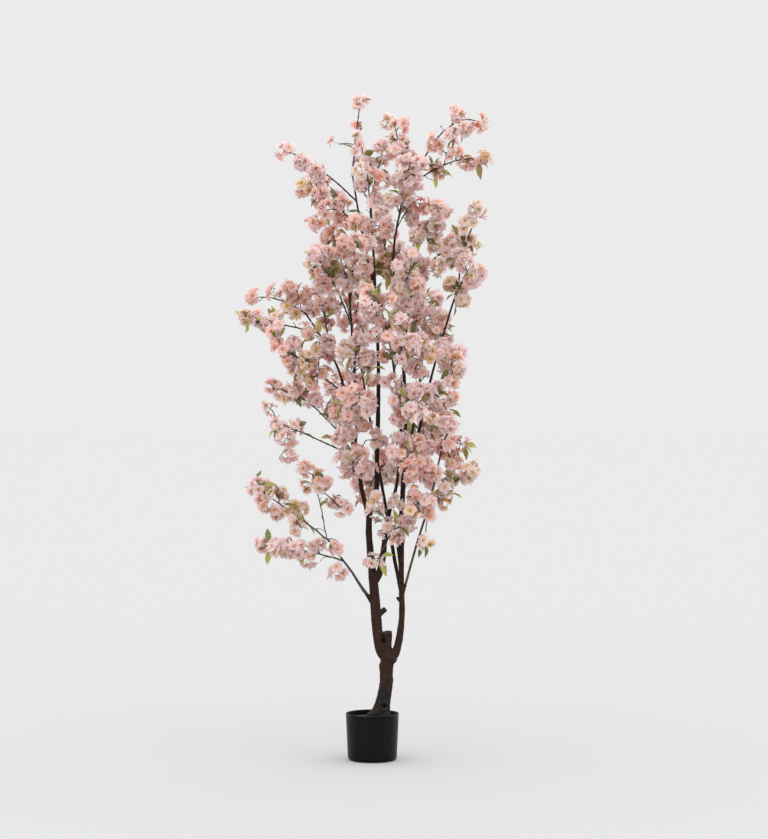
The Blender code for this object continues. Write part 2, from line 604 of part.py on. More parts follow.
def add_object(name, mesh, colour, roughness, smooth=False):
    mesh.name = name
    mesh.materials.clear()
    mesh.materials.append(plain_material(name, colour, roughness))
    body = bpy.data.objects.new(name, mesh)
    bpy.context.scene.collection.objects.link(body)
    if smooth:
        mesh.shade_smooth()
        mesh.set_sharp_from_angle(angle=math.radians(SHARP_DEGREES))
    return body


def pot_wall_radius(height):
    """The pot's outer radius at a height above its rounded foot."""
    share = (height - POT_FOOT_ROUND) / (POT_HEIGHT - POT_FOOT_ROUND)
    return POT_FOOT_RADIUS + (POT_RIM_RADIUS - POT_FOOT_RADIUS) * share


def rounded_foot(radius, height, rounding):
    """Profile points round the foot's edge, from the flat underside up to the wall."""
    points = []
    for angle in np.linspace(0, math.pi / 2, FOOT_ARC_POINTS):
        out = radius - rounding * (1 - math.sin(angle))
        points.append((out, height + rounding * (1 - math.cos(angle))))
    return points


def add_pot():
    """The pot: a thin-walled tapered cup with a rounded foot and a flat underside."""
    outside = rounded_foot(POT_FOOT_RADIUS, 0.0, POT_FOOT_ROUND)
    inside = rounded_foot(POT_FOOT_RADIUS - POT_WALL, POT_WALL, POT_FOOT_ROUND - POT_WALL)
    rim = [(POT_RIM_RADIUS, POT_HEIGHT - 2 * POT_RIM_ROUND), (POT_RIM_RADIUS - POT_RIM_ROUND, POT_HEIGHT),
           (POT_RIM_RADIUS - POT_WALL, POT_HEIGHT)]
    profile = [(0, 0), *outside, *rim, *reversed(inside), (0, POT_WALL)]
    add_object("pot", turned_mesh("pot", profile, POT_SIDES), POT_COLOUR, 0.5, smooth=True)


def add_fill():
    """The fill: a plug a gap inside the pot's wall, level in the middle and lower at its edge."""
    floor = POT_WALL + GAP
    foot = rounded_foot(POT_FOOT_RADIUS - POT_WALL - GAP, floor, POT_FOOT_ROUND - POT_WALL)
    edge = FILL_TOP - FILL_EDGE_DROP
    wall_gap = (POT_WALL + GAP) / math.cos(math.pi / POT_SIDES)
    top = [(pot_wall_radius(edge) - wall_gap, edge), (FILL_LEVEL_RADIUS, FILL_TOP)]
    profile = [(0, floor), *foot, *top, (0, FILL_TOP)]
    add_object("pot_fill", turned_mesh("pot_fill", profile, POT_SIDES), FILL_COLOUR, 0.95)


def root_flare(row, side, up, share):
    """How far the trunk stands out past its radius, for the lobes where roots would start."""
    angle = 2 * math.pi * share
    out = side * math.cos(angle) + up * math.sin(angle)
    total = 0.0
    for degrees, reach, height in ROOT_LOBES:
        towards = out @ np.array([math.cos(math.radians(degrees)), math.sin(math.radians(degrees)), 0])
        total += reach * max(0.0, towards) ** LOBE_SHARPNESS * math.exp(-(row[2] - TRUNK[0][2]) / height)
    return total


def limb_mesh(name, curve, swell=0.0):
    """The trunk, or one stem or bough, or its swollen copy that cuts room for it."""
    if name == "trunk":
        mesh = tube_mesh(name, curve, TRUNK_SIDES, swell, root_flare)
        flat_foot(mesh, TRUNK[0][2] - (CUT_OVERRUN if swell else 0))
        return mesh
    return tube_mesh(name, curve, MAIN_STEM_SIDES if name in MAIN_STEMS else LIMB_SIDES, swell)


def flat_foot(mesh, height):
    """Brings a tube's first ring to one level."""
    lowest = sorted(mesh.vertices, key=lambda vert: vert.co.z)[:TRUNK_SIDES]
    for vert in lowest:
        vert.co.z = height


def stub_meshes(name, swell=0.0):
    """The sawn stubs of one limb, each a short tube with a slightly wider end, or swollen copies."""
    stubs = []
    for limb, foot, end, radius in STUBS:
        if limb == name:
            foot, end = np.array(foot), np.array(end)
            end = end + unit(end - foot) * swell
            rows = [[*foot, radius], [*((foot + end) / 2), radius * STUB_WAIST], [*end, radius]]
            stubs.append(tube_mesh("stub", np.array(rows), LIMB_SIDES, swell))
    return stubs


def cutters_of(name, curves):
    """Copies of a limb and its stubs, a gap larger all round."""
    return [limb_mesh(name, curves[name], GAP), *stub_meshes(name, GAP)]


def add_limbs(curves):
    """The trunk, then each stem and bough, cut to saddle on the limbs before it."""
    earlier = []
    for name, curve in curves.items():
        mesh = limb_mesh(name, curve)
        stubs = stub_meshes(name)
        if stubs:
            mesh = combined(mesh, stubs, "UNION")
        if earlier:
            cutters = [cutter for other in earlier for cutter in cutters_of(other, curves)]
            mesh = combined(mesh, cutters, "DIFFERENCE")
        earlier.append(name)
        add_object(name, mesh, BARK_COLOUR, 0.85, smooth=True)


def add_mass(mass, curves, stems, blooms, leaves, colour):
    """One mass: its stem saddled on its limb, with arms, blossom and leaves fused on."""
    tubes = [tube_mesh(mass.name, stem, 3, fixed=True) for stem, first, count in stems]
    stem = combined(tubes[0], cutters_of(mass.limb, curves), "DIFFERENCE")
    petals = [bloom_mesh(*bloom) for bloom in blooms]
    for kept in (leaves, []):
        joined = combined(stem, tubes[1:] + petals + [leaf_mesh(*leaf) for leaf in kept], "UNION")
        if joined:
            break
    add_object(mass.name, joined, colour, 0.8)


def build():
    for old in list(bpy.data.objects):
        bpy.data.objects.remove(old)
    add_pot()
    add_fill()
    curves = {"trunk": smooth_curve(TRUNK, TRUNK_STEP)}
    for name, rows in LIMBS.items():
        curves[name] = smooth_curve(rows, LIMB_STEP)
    add_limbs(curves)
    space = Space()
    for name, curve in curves.items():
        space.add_curve(name, curve)
    for limb, foot, end, radius in STUBS:
        space.add(limb, foot, end, radius)
    masses = [Mass(*row) for row in MASSES]
    stems = {mass.name: mass_stems(mass, curves) for mass in masses}
    for name, curves_of_mass in stems.items():
        for curve, first, count in curves_of_mass:
            space.add_curve(name, curve)
    for index, mass in enumerate(masses):
        blooms, leaves = grow_mass(mass, stems[mass.name], space)
        colour = BLOSSOM_COLOURS[index % len(BLOSSOM_COLOURS)]
        add_mass(mass, curves, stems[mass.name], blooms, leaves, colour)


build()
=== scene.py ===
# %% [markdown]
# # An artificial cherry blossom tree in a black pot
#
# This lesson dresses a finished model of the tree. The model comes in as plain solids, which we
# call the frame: a pot, its fill, a trunk, twelve stems and boughs, and forty-five masses of
# blossom. We keep every size and place, and put real bark, twigs, flowers and leaves there.
# All lengths are in metres, +Z is up, and the front of the tree faces -Y.

import math
import random
from collections import namedtuple

import bpy
import numpy as np
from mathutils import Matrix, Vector, noise


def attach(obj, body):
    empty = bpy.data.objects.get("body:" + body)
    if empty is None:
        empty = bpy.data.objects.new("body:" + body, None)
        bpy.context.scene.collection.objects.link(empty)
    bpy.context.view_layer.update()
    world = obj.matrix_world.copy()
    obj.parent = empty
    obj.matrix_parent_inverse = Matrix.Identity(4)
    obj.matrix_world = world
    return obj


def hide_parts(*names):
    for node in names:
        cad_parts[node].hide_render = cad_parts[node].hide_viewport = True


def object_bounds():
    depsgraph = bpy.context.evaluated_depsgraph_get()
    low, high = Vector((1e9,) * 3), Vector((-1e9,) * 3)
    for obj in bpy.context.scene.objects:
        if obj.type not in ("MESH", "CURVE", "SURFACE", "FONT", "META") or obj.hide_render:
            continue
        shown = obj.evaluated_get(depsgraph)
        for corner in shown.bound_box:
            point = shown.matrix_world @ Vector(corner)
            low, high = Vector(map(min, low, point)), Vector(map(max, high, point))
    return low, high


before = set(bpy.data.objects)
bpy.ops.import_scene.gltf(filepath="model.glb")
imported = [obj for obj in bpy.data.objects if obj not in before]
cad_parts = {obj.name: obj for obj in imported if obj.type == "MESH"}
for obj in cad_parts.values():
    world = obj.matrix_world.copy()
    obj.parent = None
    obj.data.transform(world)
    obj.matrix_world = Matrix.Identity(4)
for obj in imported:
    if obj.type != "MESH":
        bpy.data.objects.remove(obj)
frame_low, frame_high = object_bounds()
print("frame:", len(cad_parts), "nodes, from", frame_low[:], "to", frame_high[:])

# %% [markdown]
# ## The studio
#
# A shop shows such a tree on a plain pale ground in very soft light. We could build a curved
# paper backdrop, but a level floor under an even sky of the same grey is simpler, and it has no
# seam from any side. The sky lights the tree more strongly than it looks, as a white tent would,
# and broad suns give it a soft front. Their light falls evenly however far the floor runs.
# Standard colour management keeps the grey and the pinks as they are mixed.

# %% Numbers of the studio
FLOOR_REACH = 300.0
SKY_GREY = 0.83  # as the camera sees it
SKY_LIGHT = 1.95  # as it lights the tree
FLOOR_GREY = 0.3753  # lit by sky and suns it looks like the sky, so that neither ends in a line
SUNS = [  # name, strength, width in degrees, where it stands (only the direction counts)
    ("key_sun", 0.55, 120, (-2.2, -5.5, 4.0)),
    ("fill_sun", 0.50, 120, (3.5, -5.0, 2.0)),
    ("back_sun", 0.35, 120, (1.0, 5.0, 3.5)),
]


def plain_shader(name, colour, roughness):
    """A new material and its Principled shader, with its plain numbers set."""
    material = bpy.data.materials.new(name)
    material.use_nodes = True
    shader = material.node_tree.nodes["Principled BSDF"]
    shader.inputs["Base Color"].default_value = (*colour, 1.0)
    shader.inputs["Roughness"].default_value = roughness
    material.diffuse_color = (*colour, 1.0)
    return material, shader


# %% Floor
def add_floor():
    """A level floor just under the pot."""
    mesh = bpy.data.meshes.new("floor")
    corners = [(-1, -1), (1, -1), (1, 1), (-1, 1)]
    mesh.from_pydata([(x * FLOOR_REACH, y * FLOOR_REACH, -0.0005) for x, y in corners], [], [(0, 1, 2, 3)])
    floor = bpy.data.objects.new("floor", mesh)
    material, shader = plain_shader("pale_floor", (FLOOR_GREY,) * 3, 1.0)
    shader.inputs["Specular IOR Level"].default_value = 0.0
    mesh.materials.append(material)
    bpy.context.scene.collection.objects.link(floor)


# %% Sky and suns
def add_lights():
    """An even sky, brighter for the tree than for the camera, and the suns."""
    world = bpy.data.worlds.new("even_sky")
    world.use_nodes = True
    nodes, links = world.node_tree.nodes, world.node_tree.links
    seen, light = nodes["Background"], nodes.new("ShaderNodeBackground")
    for sky, grey in ((seen, SKY_GREY), (light, SKY_LIGHT)):
        sky.inputs["Color"].default_value = (grey, grey, grey, 1)
    chooser, ray = nodes.new("ShaderNodeMixShader"), nodes.new("ShaderNodeLightPath")
    links.new(ray.outputs["Is Camera Ray"], chooser.inputs["Fac"])
    links.new(light.outputs["Background"], chooser.inputs[1])
    links.new(seen.outputs["Background"], chooser.inputs[2])
    links.new(chooser.outputs["Shader"], nodes["World Output"].inputs["Surface"])
    bpy.context.scene.world = world
    for name, strength, width, place in SUNS:
        light = bpy.data.lights.new(name, "SUN")
        light.energy = strength
        light.angle = math.radians(width)
        sun = bpy.data.objects.new(name, light)
        sun.rotation_euler = Vector(place).to_track_quat("Z", "Y").to_euler()
        bpy.context.scene.collection.objects.link(sun)


bpy.context.scene.view_settings.view_transform = "Standard"
add_floor()
add_lights()
print("studio:", len(SUNS), "suns over a floor of grey", FLOOR_GREY)

# %% [markdown]
# ## The camera
#
# A tall thin object looks natural from far off through a long lens. The camera stands seven
# metres away, level, at half the tree's height, so the stems don't lean in or out.

# %% Camera
IMAGE_HEIGHT = 839  # pixels, the long side
FOCAL_PIXELS = 2209.9
CAMERA_PLACE = (0.037, -7.0, 1.077)

lens = bpy.data.cameras.new("camera")
lens.sensor_width = 36.0
lens.lens = lens.sensor_width * FOCAL_PIXELS / IMAGE_HEIGHT
camera = bpy.data.objects.new("camera", lens)
camera.location = CAMERA_PLACE
camera.rotation_euler = (math.pi / 2, 0, 0)
bpy.context.scene.collection.objects.link(camera)
bpy.context.scene.camera = camera
print("camera: a", round(lens.lens, 1), "mm lens")

# %% [markdown]
# ## Effects that several finishes share
#
# Nothing real has one flat colour: petals are dyed unevenly, bark is blotched, plastic gathers
# dust. Painting pictures for each would do, but noise worked out in space fits any shape. We
# build three small effects once, as node groups with named sockets, and each finish sets its own
# colours and scales: mottle mixes two colours, relief gives a height for bump, and dust pales
# what faces up.

# %% Helpers for node trees
def new_group(name, inputs, outputs):
    """A shader node group with its named sockets and its two end nodes."""
    group = bpy.data.node_groups.new(name, "ShaderNodeTree")
    for socket, kind, value in inputs:
        group.interface.new_socket(socket, in_out="INPUT", socket_type=kind).default_value = value
    for socket, kind in outputs:
        group.interface.new_socket(socket, in_out="OUTPUT", socket_type=kind)
    return group, group.nodes.new("NodeGroupInput"), group.nodes.new("NodeGroupOutput")


def node(tree, kind, links=(), **settings):
    """A node with its settings made and its inputs linked."""
    made = tree.nodes.new(kind)
    for key, value in settings.items():
        setattr(made, key, value)
    for socket, source in links:
        if isinstance(source, bpy.types.NodeSocket):
            tree.links.new(source, made.inputs[socket])
        else:
            made.inputs[socket].default_value = source
    return made


def stretched_place(tree, stretch):
    """Object coordinates with Z multiplied, so that a pattern runs long or short up the tree."""
    place = node(tree, "ShaderNodeTexCoord").outputs["Object"]
    scales = node(tree, "ShaderNodeCombineXYZ", [("X", 1.0), ("Y", 1.0), ("Z", stretch)]).outputs[0]
    return node(tree, "ShaderNodeVectorMath", [(0, place), (1, scales)], operation="MULTIPLY").outputs[0]


def give_out_mix(group, out, mask, first, second):
    """Ends a group with one colour mixed into another by a mask, and with the mask itself."""
    mixed = node(group, "ShaderNodeMix", [(0, mask), (6, first), (7, second)], data_type="RGBA")
    group.links.new(mixed.outputs[2], out.inputs["Colour"])
    group.links.new(mask, out.inputs["Mask"])
    return group


# %% Mottle
PATCH_EDGES = (0.36, 0.64)  # of the noise, between the light colour and the dark


def mottle_group():
    """A light and a dark colour in soft patches."""
    group, given, out = new_group("mottle", [
        ("Light", "NodeSocketColor", (1, 1, 1, 1)), ("Dark", "NodeSocketColor", (0, 0, 0, 1)),
        ("Scale", "NodeSocketFloat", 100.0), ("Stretch", "NodeSocketFloat", 1.0),
    ], [("Colour", "NodeSocketColor"), ("Mask", "NodeSocketFloat")])
    place = stretched_place(group, given.outputs["Stretch"])
    patches = node(group, "ShaderNodeTexNoise", [
        ("Vector", place), ("Scale", given.outputs["Scale"]), ("Detail", 4.0), ("Roughness", 0.6)])
    mask = node(group, "ShaderNodeMapRange", [
        (0, patches.outputs[0]), (1, PATCH_EDGES[0]), (2, PATCH_EDGES[1])]).outputs[0]
    return give_out_mix(group, out, mask, given.outputs["Light"], given.outputs["Dark"])


# %% Relief
def relief_group():
    """The height of a grain, between waves and cells."""
    group, given, out = new_group("relief", [
        ("Scale", "NodeSocketFloat", 400.0), ("Stretch", "NodeSocketFloat", 1.0),
        ("Grain", "NodeSocketFloat", 0.5),
    ], [("Height", "NodeSocketFloat")])
    place = stretched_place(group, given.outputs["Stretch"])
    waves = node(group, "ShaderNodeTexNoise", [
        ("Vector", place), ("Scale", given.outputs["Scale"]), ("Detail", 5.0), ("Roughness", 0.65)])
    cells = node(group, "ShaderNodeTexVoronoi", [("Vector", place), ("Scale", given.outputs["Scale"])])
    height = node(group, "ShaderNodeMix", [
        (0, given.outputs["Grain"]), (2, waves.outputs[0]), (3, cells.outputs[0])], data_type="FLOAT")
    group.links.new(height.outputs[0], out.inputs["Height"])
    return group


# %% Dust
DUST_FACING = (0.25, 1.0)  # how far up a surface faces, from no dust to the most
DUST_DRIFTS = 60.0  # to a metre


def dust_group():
    """A paler colour in drifts on what faces up."""
    group, given, out = new_group("dust", [
        ("Colour", "NodeSocketColor", (0, 0, 0, 1)), ("Dust", "NodeSocketColor", (0.3, 0.3, 0.3, 1)),
        ("Amount", "NodeSocketFloat", 0.3),
    ], [("Colour", "NodeSocketColor"), ("Mask", "NodeSocketFloat")])
    normal = node(group, "ShaderNodeNewGeometry").outputs["Normal"]
    up = node(group, "ShaderNodeSeparateXYZ", [(0, normal)]).outputs["Z"]
    facing = node(group, "ShaderNodeMapRange", [
        (0, up), (1, DUST_FACING[0]), (2, DUST_FACING[1])]).outputs[0]
    place = node(group, "ShaderNodeTexCoord").outputs["Object"]
    drift = node(group, "ShaderNodeTexNoise", [
        ("Vector", place), ("Scale", DUST_DRIFTS), ("Detail", 3.0)]).outputs[0]
    settled = node(group, "ShaderNodeMath", [(0, facing), (1, drift)], operation="MULTIPLY").outputs[0]
    mask = node(group, "ShaderNodeMath", [(0, settled), (1, given.outputs["Amount"])], operation="MULTIPLY")
    return give_out_mix(group, out, mask.outputs[0], given.outputs["Colour"], given.outputs["Dust"])


GROUPS = {"mottle": mottle_group(), "relief": relief_group(), "dust": dust_group()}
print("node groups:", ", ".join(GROUPS))

# %% [markdown]
# ## One way to make a finish
#
# Each finish has a light and a dark colour to mottle, a relief for its grain, and for hard parts
# some dust. The numbers that are the same all over, such as sheen, go straight onto the shader.

# %% A finish from the shared effects
def rgba(colour):
    """A colour with its alpha."""
    return (*colour, 1.0)


def finish_of(name, light, dark, scale, roughness, specular=0.5, stretch=1.0, grain=(400.0, 0.5),
              bump=0.2, bump_height=0.0003, dust=0.0, sheen=0.0, glow=0.0):
    """A material: mottled colours, a bumped grain and, where it has them, dust, sheen or glow."""
    material, shader = plain_shader(name, light, roughness)
    tree = material.node_tree
    shader.inputs["Specular IOR Level"].default_value = specular
    shader.inputs["Sheen Weight"].default_value = sheen
    colour = node(tree, "ShaderNodeGroup", [
        ("Light", rgba(light)), ("Dark", rgba(dark)), ("Scale", scale), ("Stretch", stretch)],
        node_tree=GROUPS["mottle"]).outputs["Colour"]
    if dust:
        colour = node(tree, "ShaderNodeGroup", [("Amount", dust), ("Colour", colour)],
                      node_tree=GROUPS["dust"]).outputs["Colour"]
    tree.links.new(colour, shader.inputs["Base Color"])
    relief = node(tree, "ShaderNodeGroup", [
        ("Scale", grain[0]), ("Stretch", stretch), ("Grain", grain[1])], node_tree=GROUPS["relief"])
    bumped = node(tree, "ShaderNodeBump", [
        ("Strength", bump), ("Distance", bump_height), ("Height", relief.outputs["Height"])])
    tree.links.new(bumped.outputs[0], shader.inputs["Normal"])
    if glow:  # some of the light goes through thin cloth
        through = node(tree, "ShaderNodeBsdfTranslucent", [("Color", colour)])
        mixed = node(tree, "ShaderNodeMixShader", [
            (0, glow), (1, shader.outputs[0]), (2, through.outputs[0])])
        tree.links.new(mixed.outputs[0], tree.nodes["Material Output"].inputs["Surface"])
    return material


# %% [markdown]
# ## Gathering many small shapes into one mesh
#
# A tree has thousands of petals. One object for each would be slow, so each kind is gathered
# into a few large meshes. We keep points and faces as number tables: every face is a row of
# four corners, and a triangle has -1 for its last.

# %% Gather
class Gather:
    """Points and faces of one kind of thing, from many small shapes."""

    def __init__(self):
        self.points, self.faces, self.shades, self.count = [], [], [], 0

    def add(self, points, faces, shades=0):
        """Takes in one shape; shades are the numbers of its faces' materials."""
        points, faces = np.asarray(points, float).reshape(-1, 3), np.asarray(faces)
        self.points.append(points)
        self.faces.append(np.where(faces < 0, -1, faces + self.count))
        self.shades.append(np.broadcast_to(shades, len(faces)))
        self.count += len(points)

    def mesh(self, name, materials):
        """One smooth mesh of all the shapes."""
        faces, shades = np.vstack(self.faces), np.concatenate(self.shades)
        mesh = bpy.data.meshes.new(name)
        mesh.vertices.add(self.count)
        mesh.vertices.foreach_set("co", np.vstack(self.points).astype(np.float32).ravel())
        totals = (faces >= 0).sum(axis=1)
        corners = faces.ravel()
        corners = corners[corners >= 0]
        mesh.loops.add(len(corners))
        mesh.loops.foreach_set("vertex_index", corners.astype(np.int32))
        mesh.polygons.add(len(faces))
        mesh.polygons.foreach_set("loop_start", (np.cumsum(totals) - totals).astype(np.int32))
        mesh.polygons.foreach_set("material_index", shades.astype(np.int32))
        for material in materials:
            mesh.materials.append(material)
        mesh.update(calc_edges=True)
        mesh.shade_smooth()
        return mesh


def add_piece(name, mesh, replaced):
    """Puts a piece in the scene, where it rides on the one body and stands for its nodes."""
    piece = bpy.data.objects.new(name, mesh)
    bpy.context.scene.collection.objects.link(piece)
    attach(piece, "root")
    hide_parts(*replaced)
    print(f"{name}: {sum(len(face.vertices) - 2 for face in mesh.polygons)} triangles")


# %% [markdown]
# ## Grids
#
# A tube, a bowl and a petal are all grids of points: rows one way and columns the other. A tube
# or bowl joins its last column to its first and closes its ends with a fan of triangles.

# %% Faces of a grid
def grid_faces(rows, columns, closed):
    """Rows of four corners for a grid, joined round where it is closed."""
    last = columns if closed else columns - 1
    row, column = np.meshgrid(np.arange(rows - 1), np.arange(last), indexing="ij")
    beside = (column + 1) % columns
    faces = np.stack([row * columns + column, row * columns + beside,
                      (row + 1) * columns + beside, (row + 1) * columns + column], axis=-1)
    return faces.reshape(-1, 4)


def fan_faces(first, count, tip, flip):
    """Triangles from a ring of points to one tip point."""
    ring = first + np.arange(count)
    after = first + (np.arange(count) + 1) % count
    pair = (after, ring) if flip else (ring, after)
    return np.stack([pair[0], pair[1], np.full(count, tip), np.full(count, -1)], axis=-1)


def closed_tube(rings):
    """Points and faces of a tube through rings of points, closed by a fan at each end."""
    rows, columns = rings.shape[:2]
    points = np.vstack([rings.reshape(-1, 3), rings[0].mean(axis=0), rings[-1].mean(axis=0)])
    foot, top = rows * columns, rows * columns + 1
    faces = [grid_faces(rows, columns, True), fan_faces(0, columns, foot, True),
             fan_faces((rows - 1) * columns, columns, top, False)]
    return points, np.vstack(faces)


# %% [markdown]
# ## The limbs
#
# The trunk, stems and boughs keep the frame's own lines. Each is a few rows of a point and a
# radius, and a smooth curve runs through them. Three sawn stubs, each a limb's name, a foot, an
# end and a radius, stand where side boughs were cut. The pot's sizes are the frame's own too.

# %% Rows of the trunk, stems and boughs
POT_HEIGHT, POT_RIM_RADIUS, POT_FOOT_RADIUS = 0.148, 0.084, 0.078
POT_FOOT_ROUND, POT_WALL = 0.012, 0.002
FILL_TOP, FILL_EDGE_DROP, GAP = 0.135, 0.003, 0.0003

TRUNK = [
    (0.028, 0.000, FILL_TOP + GAP, 0.024), (0.034, 0.000, 0.179, 0.023),
    (0.042, 0.000, 0.227, 0.021), (0.045, 0.000, 0.277, 0.020), (0.047, 0.000, 0.322, 0.021),
    (0.047, 0.000, 0.355, 0.015), (0.047, -0.002, 0.386, 0.015), (0.0455, -0.004, 0.405, 0.0172),
]
ROOT_LOBES = [(180, 0.028, 0.016), (65, 0.010, 0.030), (300, 0.012, 0.025)]  # degrees, reach, height
LOBE_SHARPNESS = 4

LIMBS = {
    "left_stem": [
        (0.043, 0.000, 0.315, 0.014), (0.024, 0.000, 0.353, 0.0155), (0.013, 0.000, 0.442, 0.0165),
        (0.006, 0.000, 0.537, 0.0150), (-0.004, 0.000, 0.632, 0.0120), (-0.011, 0.000, 0.727, 0.010),
        (-0.006, 0.000, 0.790, 0.009), (0.013, 0.010, 0.860, 0.0083), (0.015, 0.010, 0.964, 0.0075),
        (0.019, 0.010, 1.139, 0.0065), (0.018, 0.010, 1.297, 0.0053), (0.005, 0.000, 1.576, 0.0040),
        (-0.004, 0.000, 1.756, 0.0030), (0.005, 0.000, 1.817, 0.0026),
    ],
    "right_stem": [
        (0.053, 0.000, 0.312, 0.014), (0.073, 0.000, 0.337, 0.0135), (0.086, 0.000, 0.388, 0.0112),
        (0.094, 0.000, 0.467, 0.0093), (0.092, 0.000, 0.584, 0.0088), (0.095, 0.020, 0.805, 0.008),
        (0.104, 0.020, 0.996, 0.0070), (0.102, 0.010, 1.186, 0.0058), (0.089, 0.000, 1.360, 0.0048),
        (0.072, 0.000, 1.494, 0.0042), (0.067, 0.000, 1.598, 0.0037), (0.081, 0.000, 1.703, 0.0031),
        (0.113, 0.000, 1.810, 0.0025),
    ],
    "left_fork": [
        (-0.009, 0.000, 0.759, 0.007), (-0.033, -0.005, 0.854, 0.0067), (-0.044, -0.015, 0.940, 0.0060),
        (-0.054, -0.020, 0.981, 0.0056), (-0.050, -0.020, 1.060, 0.0050),
        (-0.056, -0.010, 1.202, 0.0043), (-0.064, 0.000, 1.341, 0.0037), (-0.074, 0.010, 1.488, 0.0029),
    ],
    "front_stem": [
        (0.004, 0.000, 0.560, 0.0100), (0.023, -0.010, 0.594, 0.0102), (0.033, -0.018, 0.642, 0.0100),
        (0.039, -0.026, 0.695, 0.0085), (0.045, -0.033, 0.740, 0.0066), (0.059, -0.042, 0.805, 0.0058),
        (0.079, -0.050, 0.887, 0.0052), (0.090, -0.090, 1.044, 0.0044), (0.068, -0.130, 1.231, 0.0034),
        (0.056, -0.140, 1.308, 0.003),
    ],
    "back_left_stem": [
        (0.091, 0.000, 0.543, 0.0065), (0.072, 0.018, 0.624, 0.006), (0.050, 0.050, 0.756, 0.0055),
        (0.024, 0.085, 0.899, 0.0048), (-0.005, 0.120, 1.059, 0.004), (-0.041, 0.145, 1.270, 0.003),
    ],
    "back_right_stem": [
        (0.092, 0.003, 0.600, 0.006), (0.082, 0.030, 0.680, 0.0056), (0.091, 0.070, 0.781, 0.005),
        (0.121, 0.120, 0.985, 0.004), (0.160, 0.155, 1.254, 0.003),
    ],
    "low_left": [
        (0.008, 0.000, 0.490, 0.0075), (-0.033, -0.008, 0.545, 0.0048), (-0.064, -0.015, 0.594, 0.0037),
        (-0.100, -0.022, 0.643, 0.0033), (-0.134, -0.028, 0.692, 0.0029),
    ],
    "low_right": [
        (0.094, 0.000, 0.512, 0.0046), (0.119, -0.020, 0.608, 0.0038), (0.144, -0.040, 0.697, 0.0036),
        (0.178, -0.055, 0.808, 0.0034), (0.202, -0.065, 0.912, 0.0030), (0.222, -0.070, 1.003, 0.0025),
    ],
    "left_high": [
        (-0.054, -0.020, 0.981, 0.0048), (-0.077, -0.020, 1.044, 0.0045), (-0.085, 0.000, 1.155, 0.0041),
        (-0.125, 0.010, 1.275, 0.0036), (-0.214, 0.010, 1.418, 0.0026),
    ],
    "far_right": [
        (0.102, 0.020, 0.948, 0.006), (0.126, 0.005, 1.003, 0.0054), (0.148, 0.000, 1.044, 0.0050),
        (0.167, -0.010, 1.129, 0.0043), (0.195, -0.020, 1.243, 0.0037), (0.242, -0.020, 1.404, 0.0032),
        (0.271, -0.020, 1.502, 0.0028), (0.277, -0.020, 1.574, 0.0025),
    ],
    "right_high": [
        (0.097, 0.000, 1.272, 0.0046), (0.107, 0.015, 1.355, 0.0042), (0.120, 0.030, 1.457, 0.0037),
        (0.148, 0.040, 1.534, 0.0032), (0.206, 0.040, 1.598, 0.0026),
    ],
    "top_left": [
        (0.009, 0.003, 1.487, 0.004), (-0.020, 0.015, 1.615, 0.0036), (-0.044, 0.020, 1.736, 0.003),
        (-0.065, 0.020, 1.863, 0.0023),
    ],
}
TRUNK_STEP, LIMB_STEP = 0.020, 0.065
STUBS = [
    ("trunk", (0.050, -0.006, 0.305), (0.077, -0.020, 0.322), 0.010),
    ("left_stem", (0.012, -0.004, 0.455), (0.042, -0.016, 0.478), 0.0085),
    ("right_stem", (0.092, 0.000, 0.500), (0.078, -0.009, 0.514), 0.005),
]
print("limbs:", 1 + len(LIMBS), "with", len(STUBS), "sawn stubs")

# %% [markdown]
# ## The masses of blossom
#
# Forty-five stems carry the blossom. Each row gives the limb it leaves and how high, its tip, how
# far it bows up, from which share of it the bunches start, how many there are and how far they
# stand off it, a seed, and its side arms. An arm leaves its carrier, which is 0 for the stem and
# then 1 for the first arm, at a share of that, and has its own first share and count of bunches.
# The frame grew its bunches by one seeded rule. We run the same rule on the same numbers, so that
# each fine bunch sits where a plain one was.

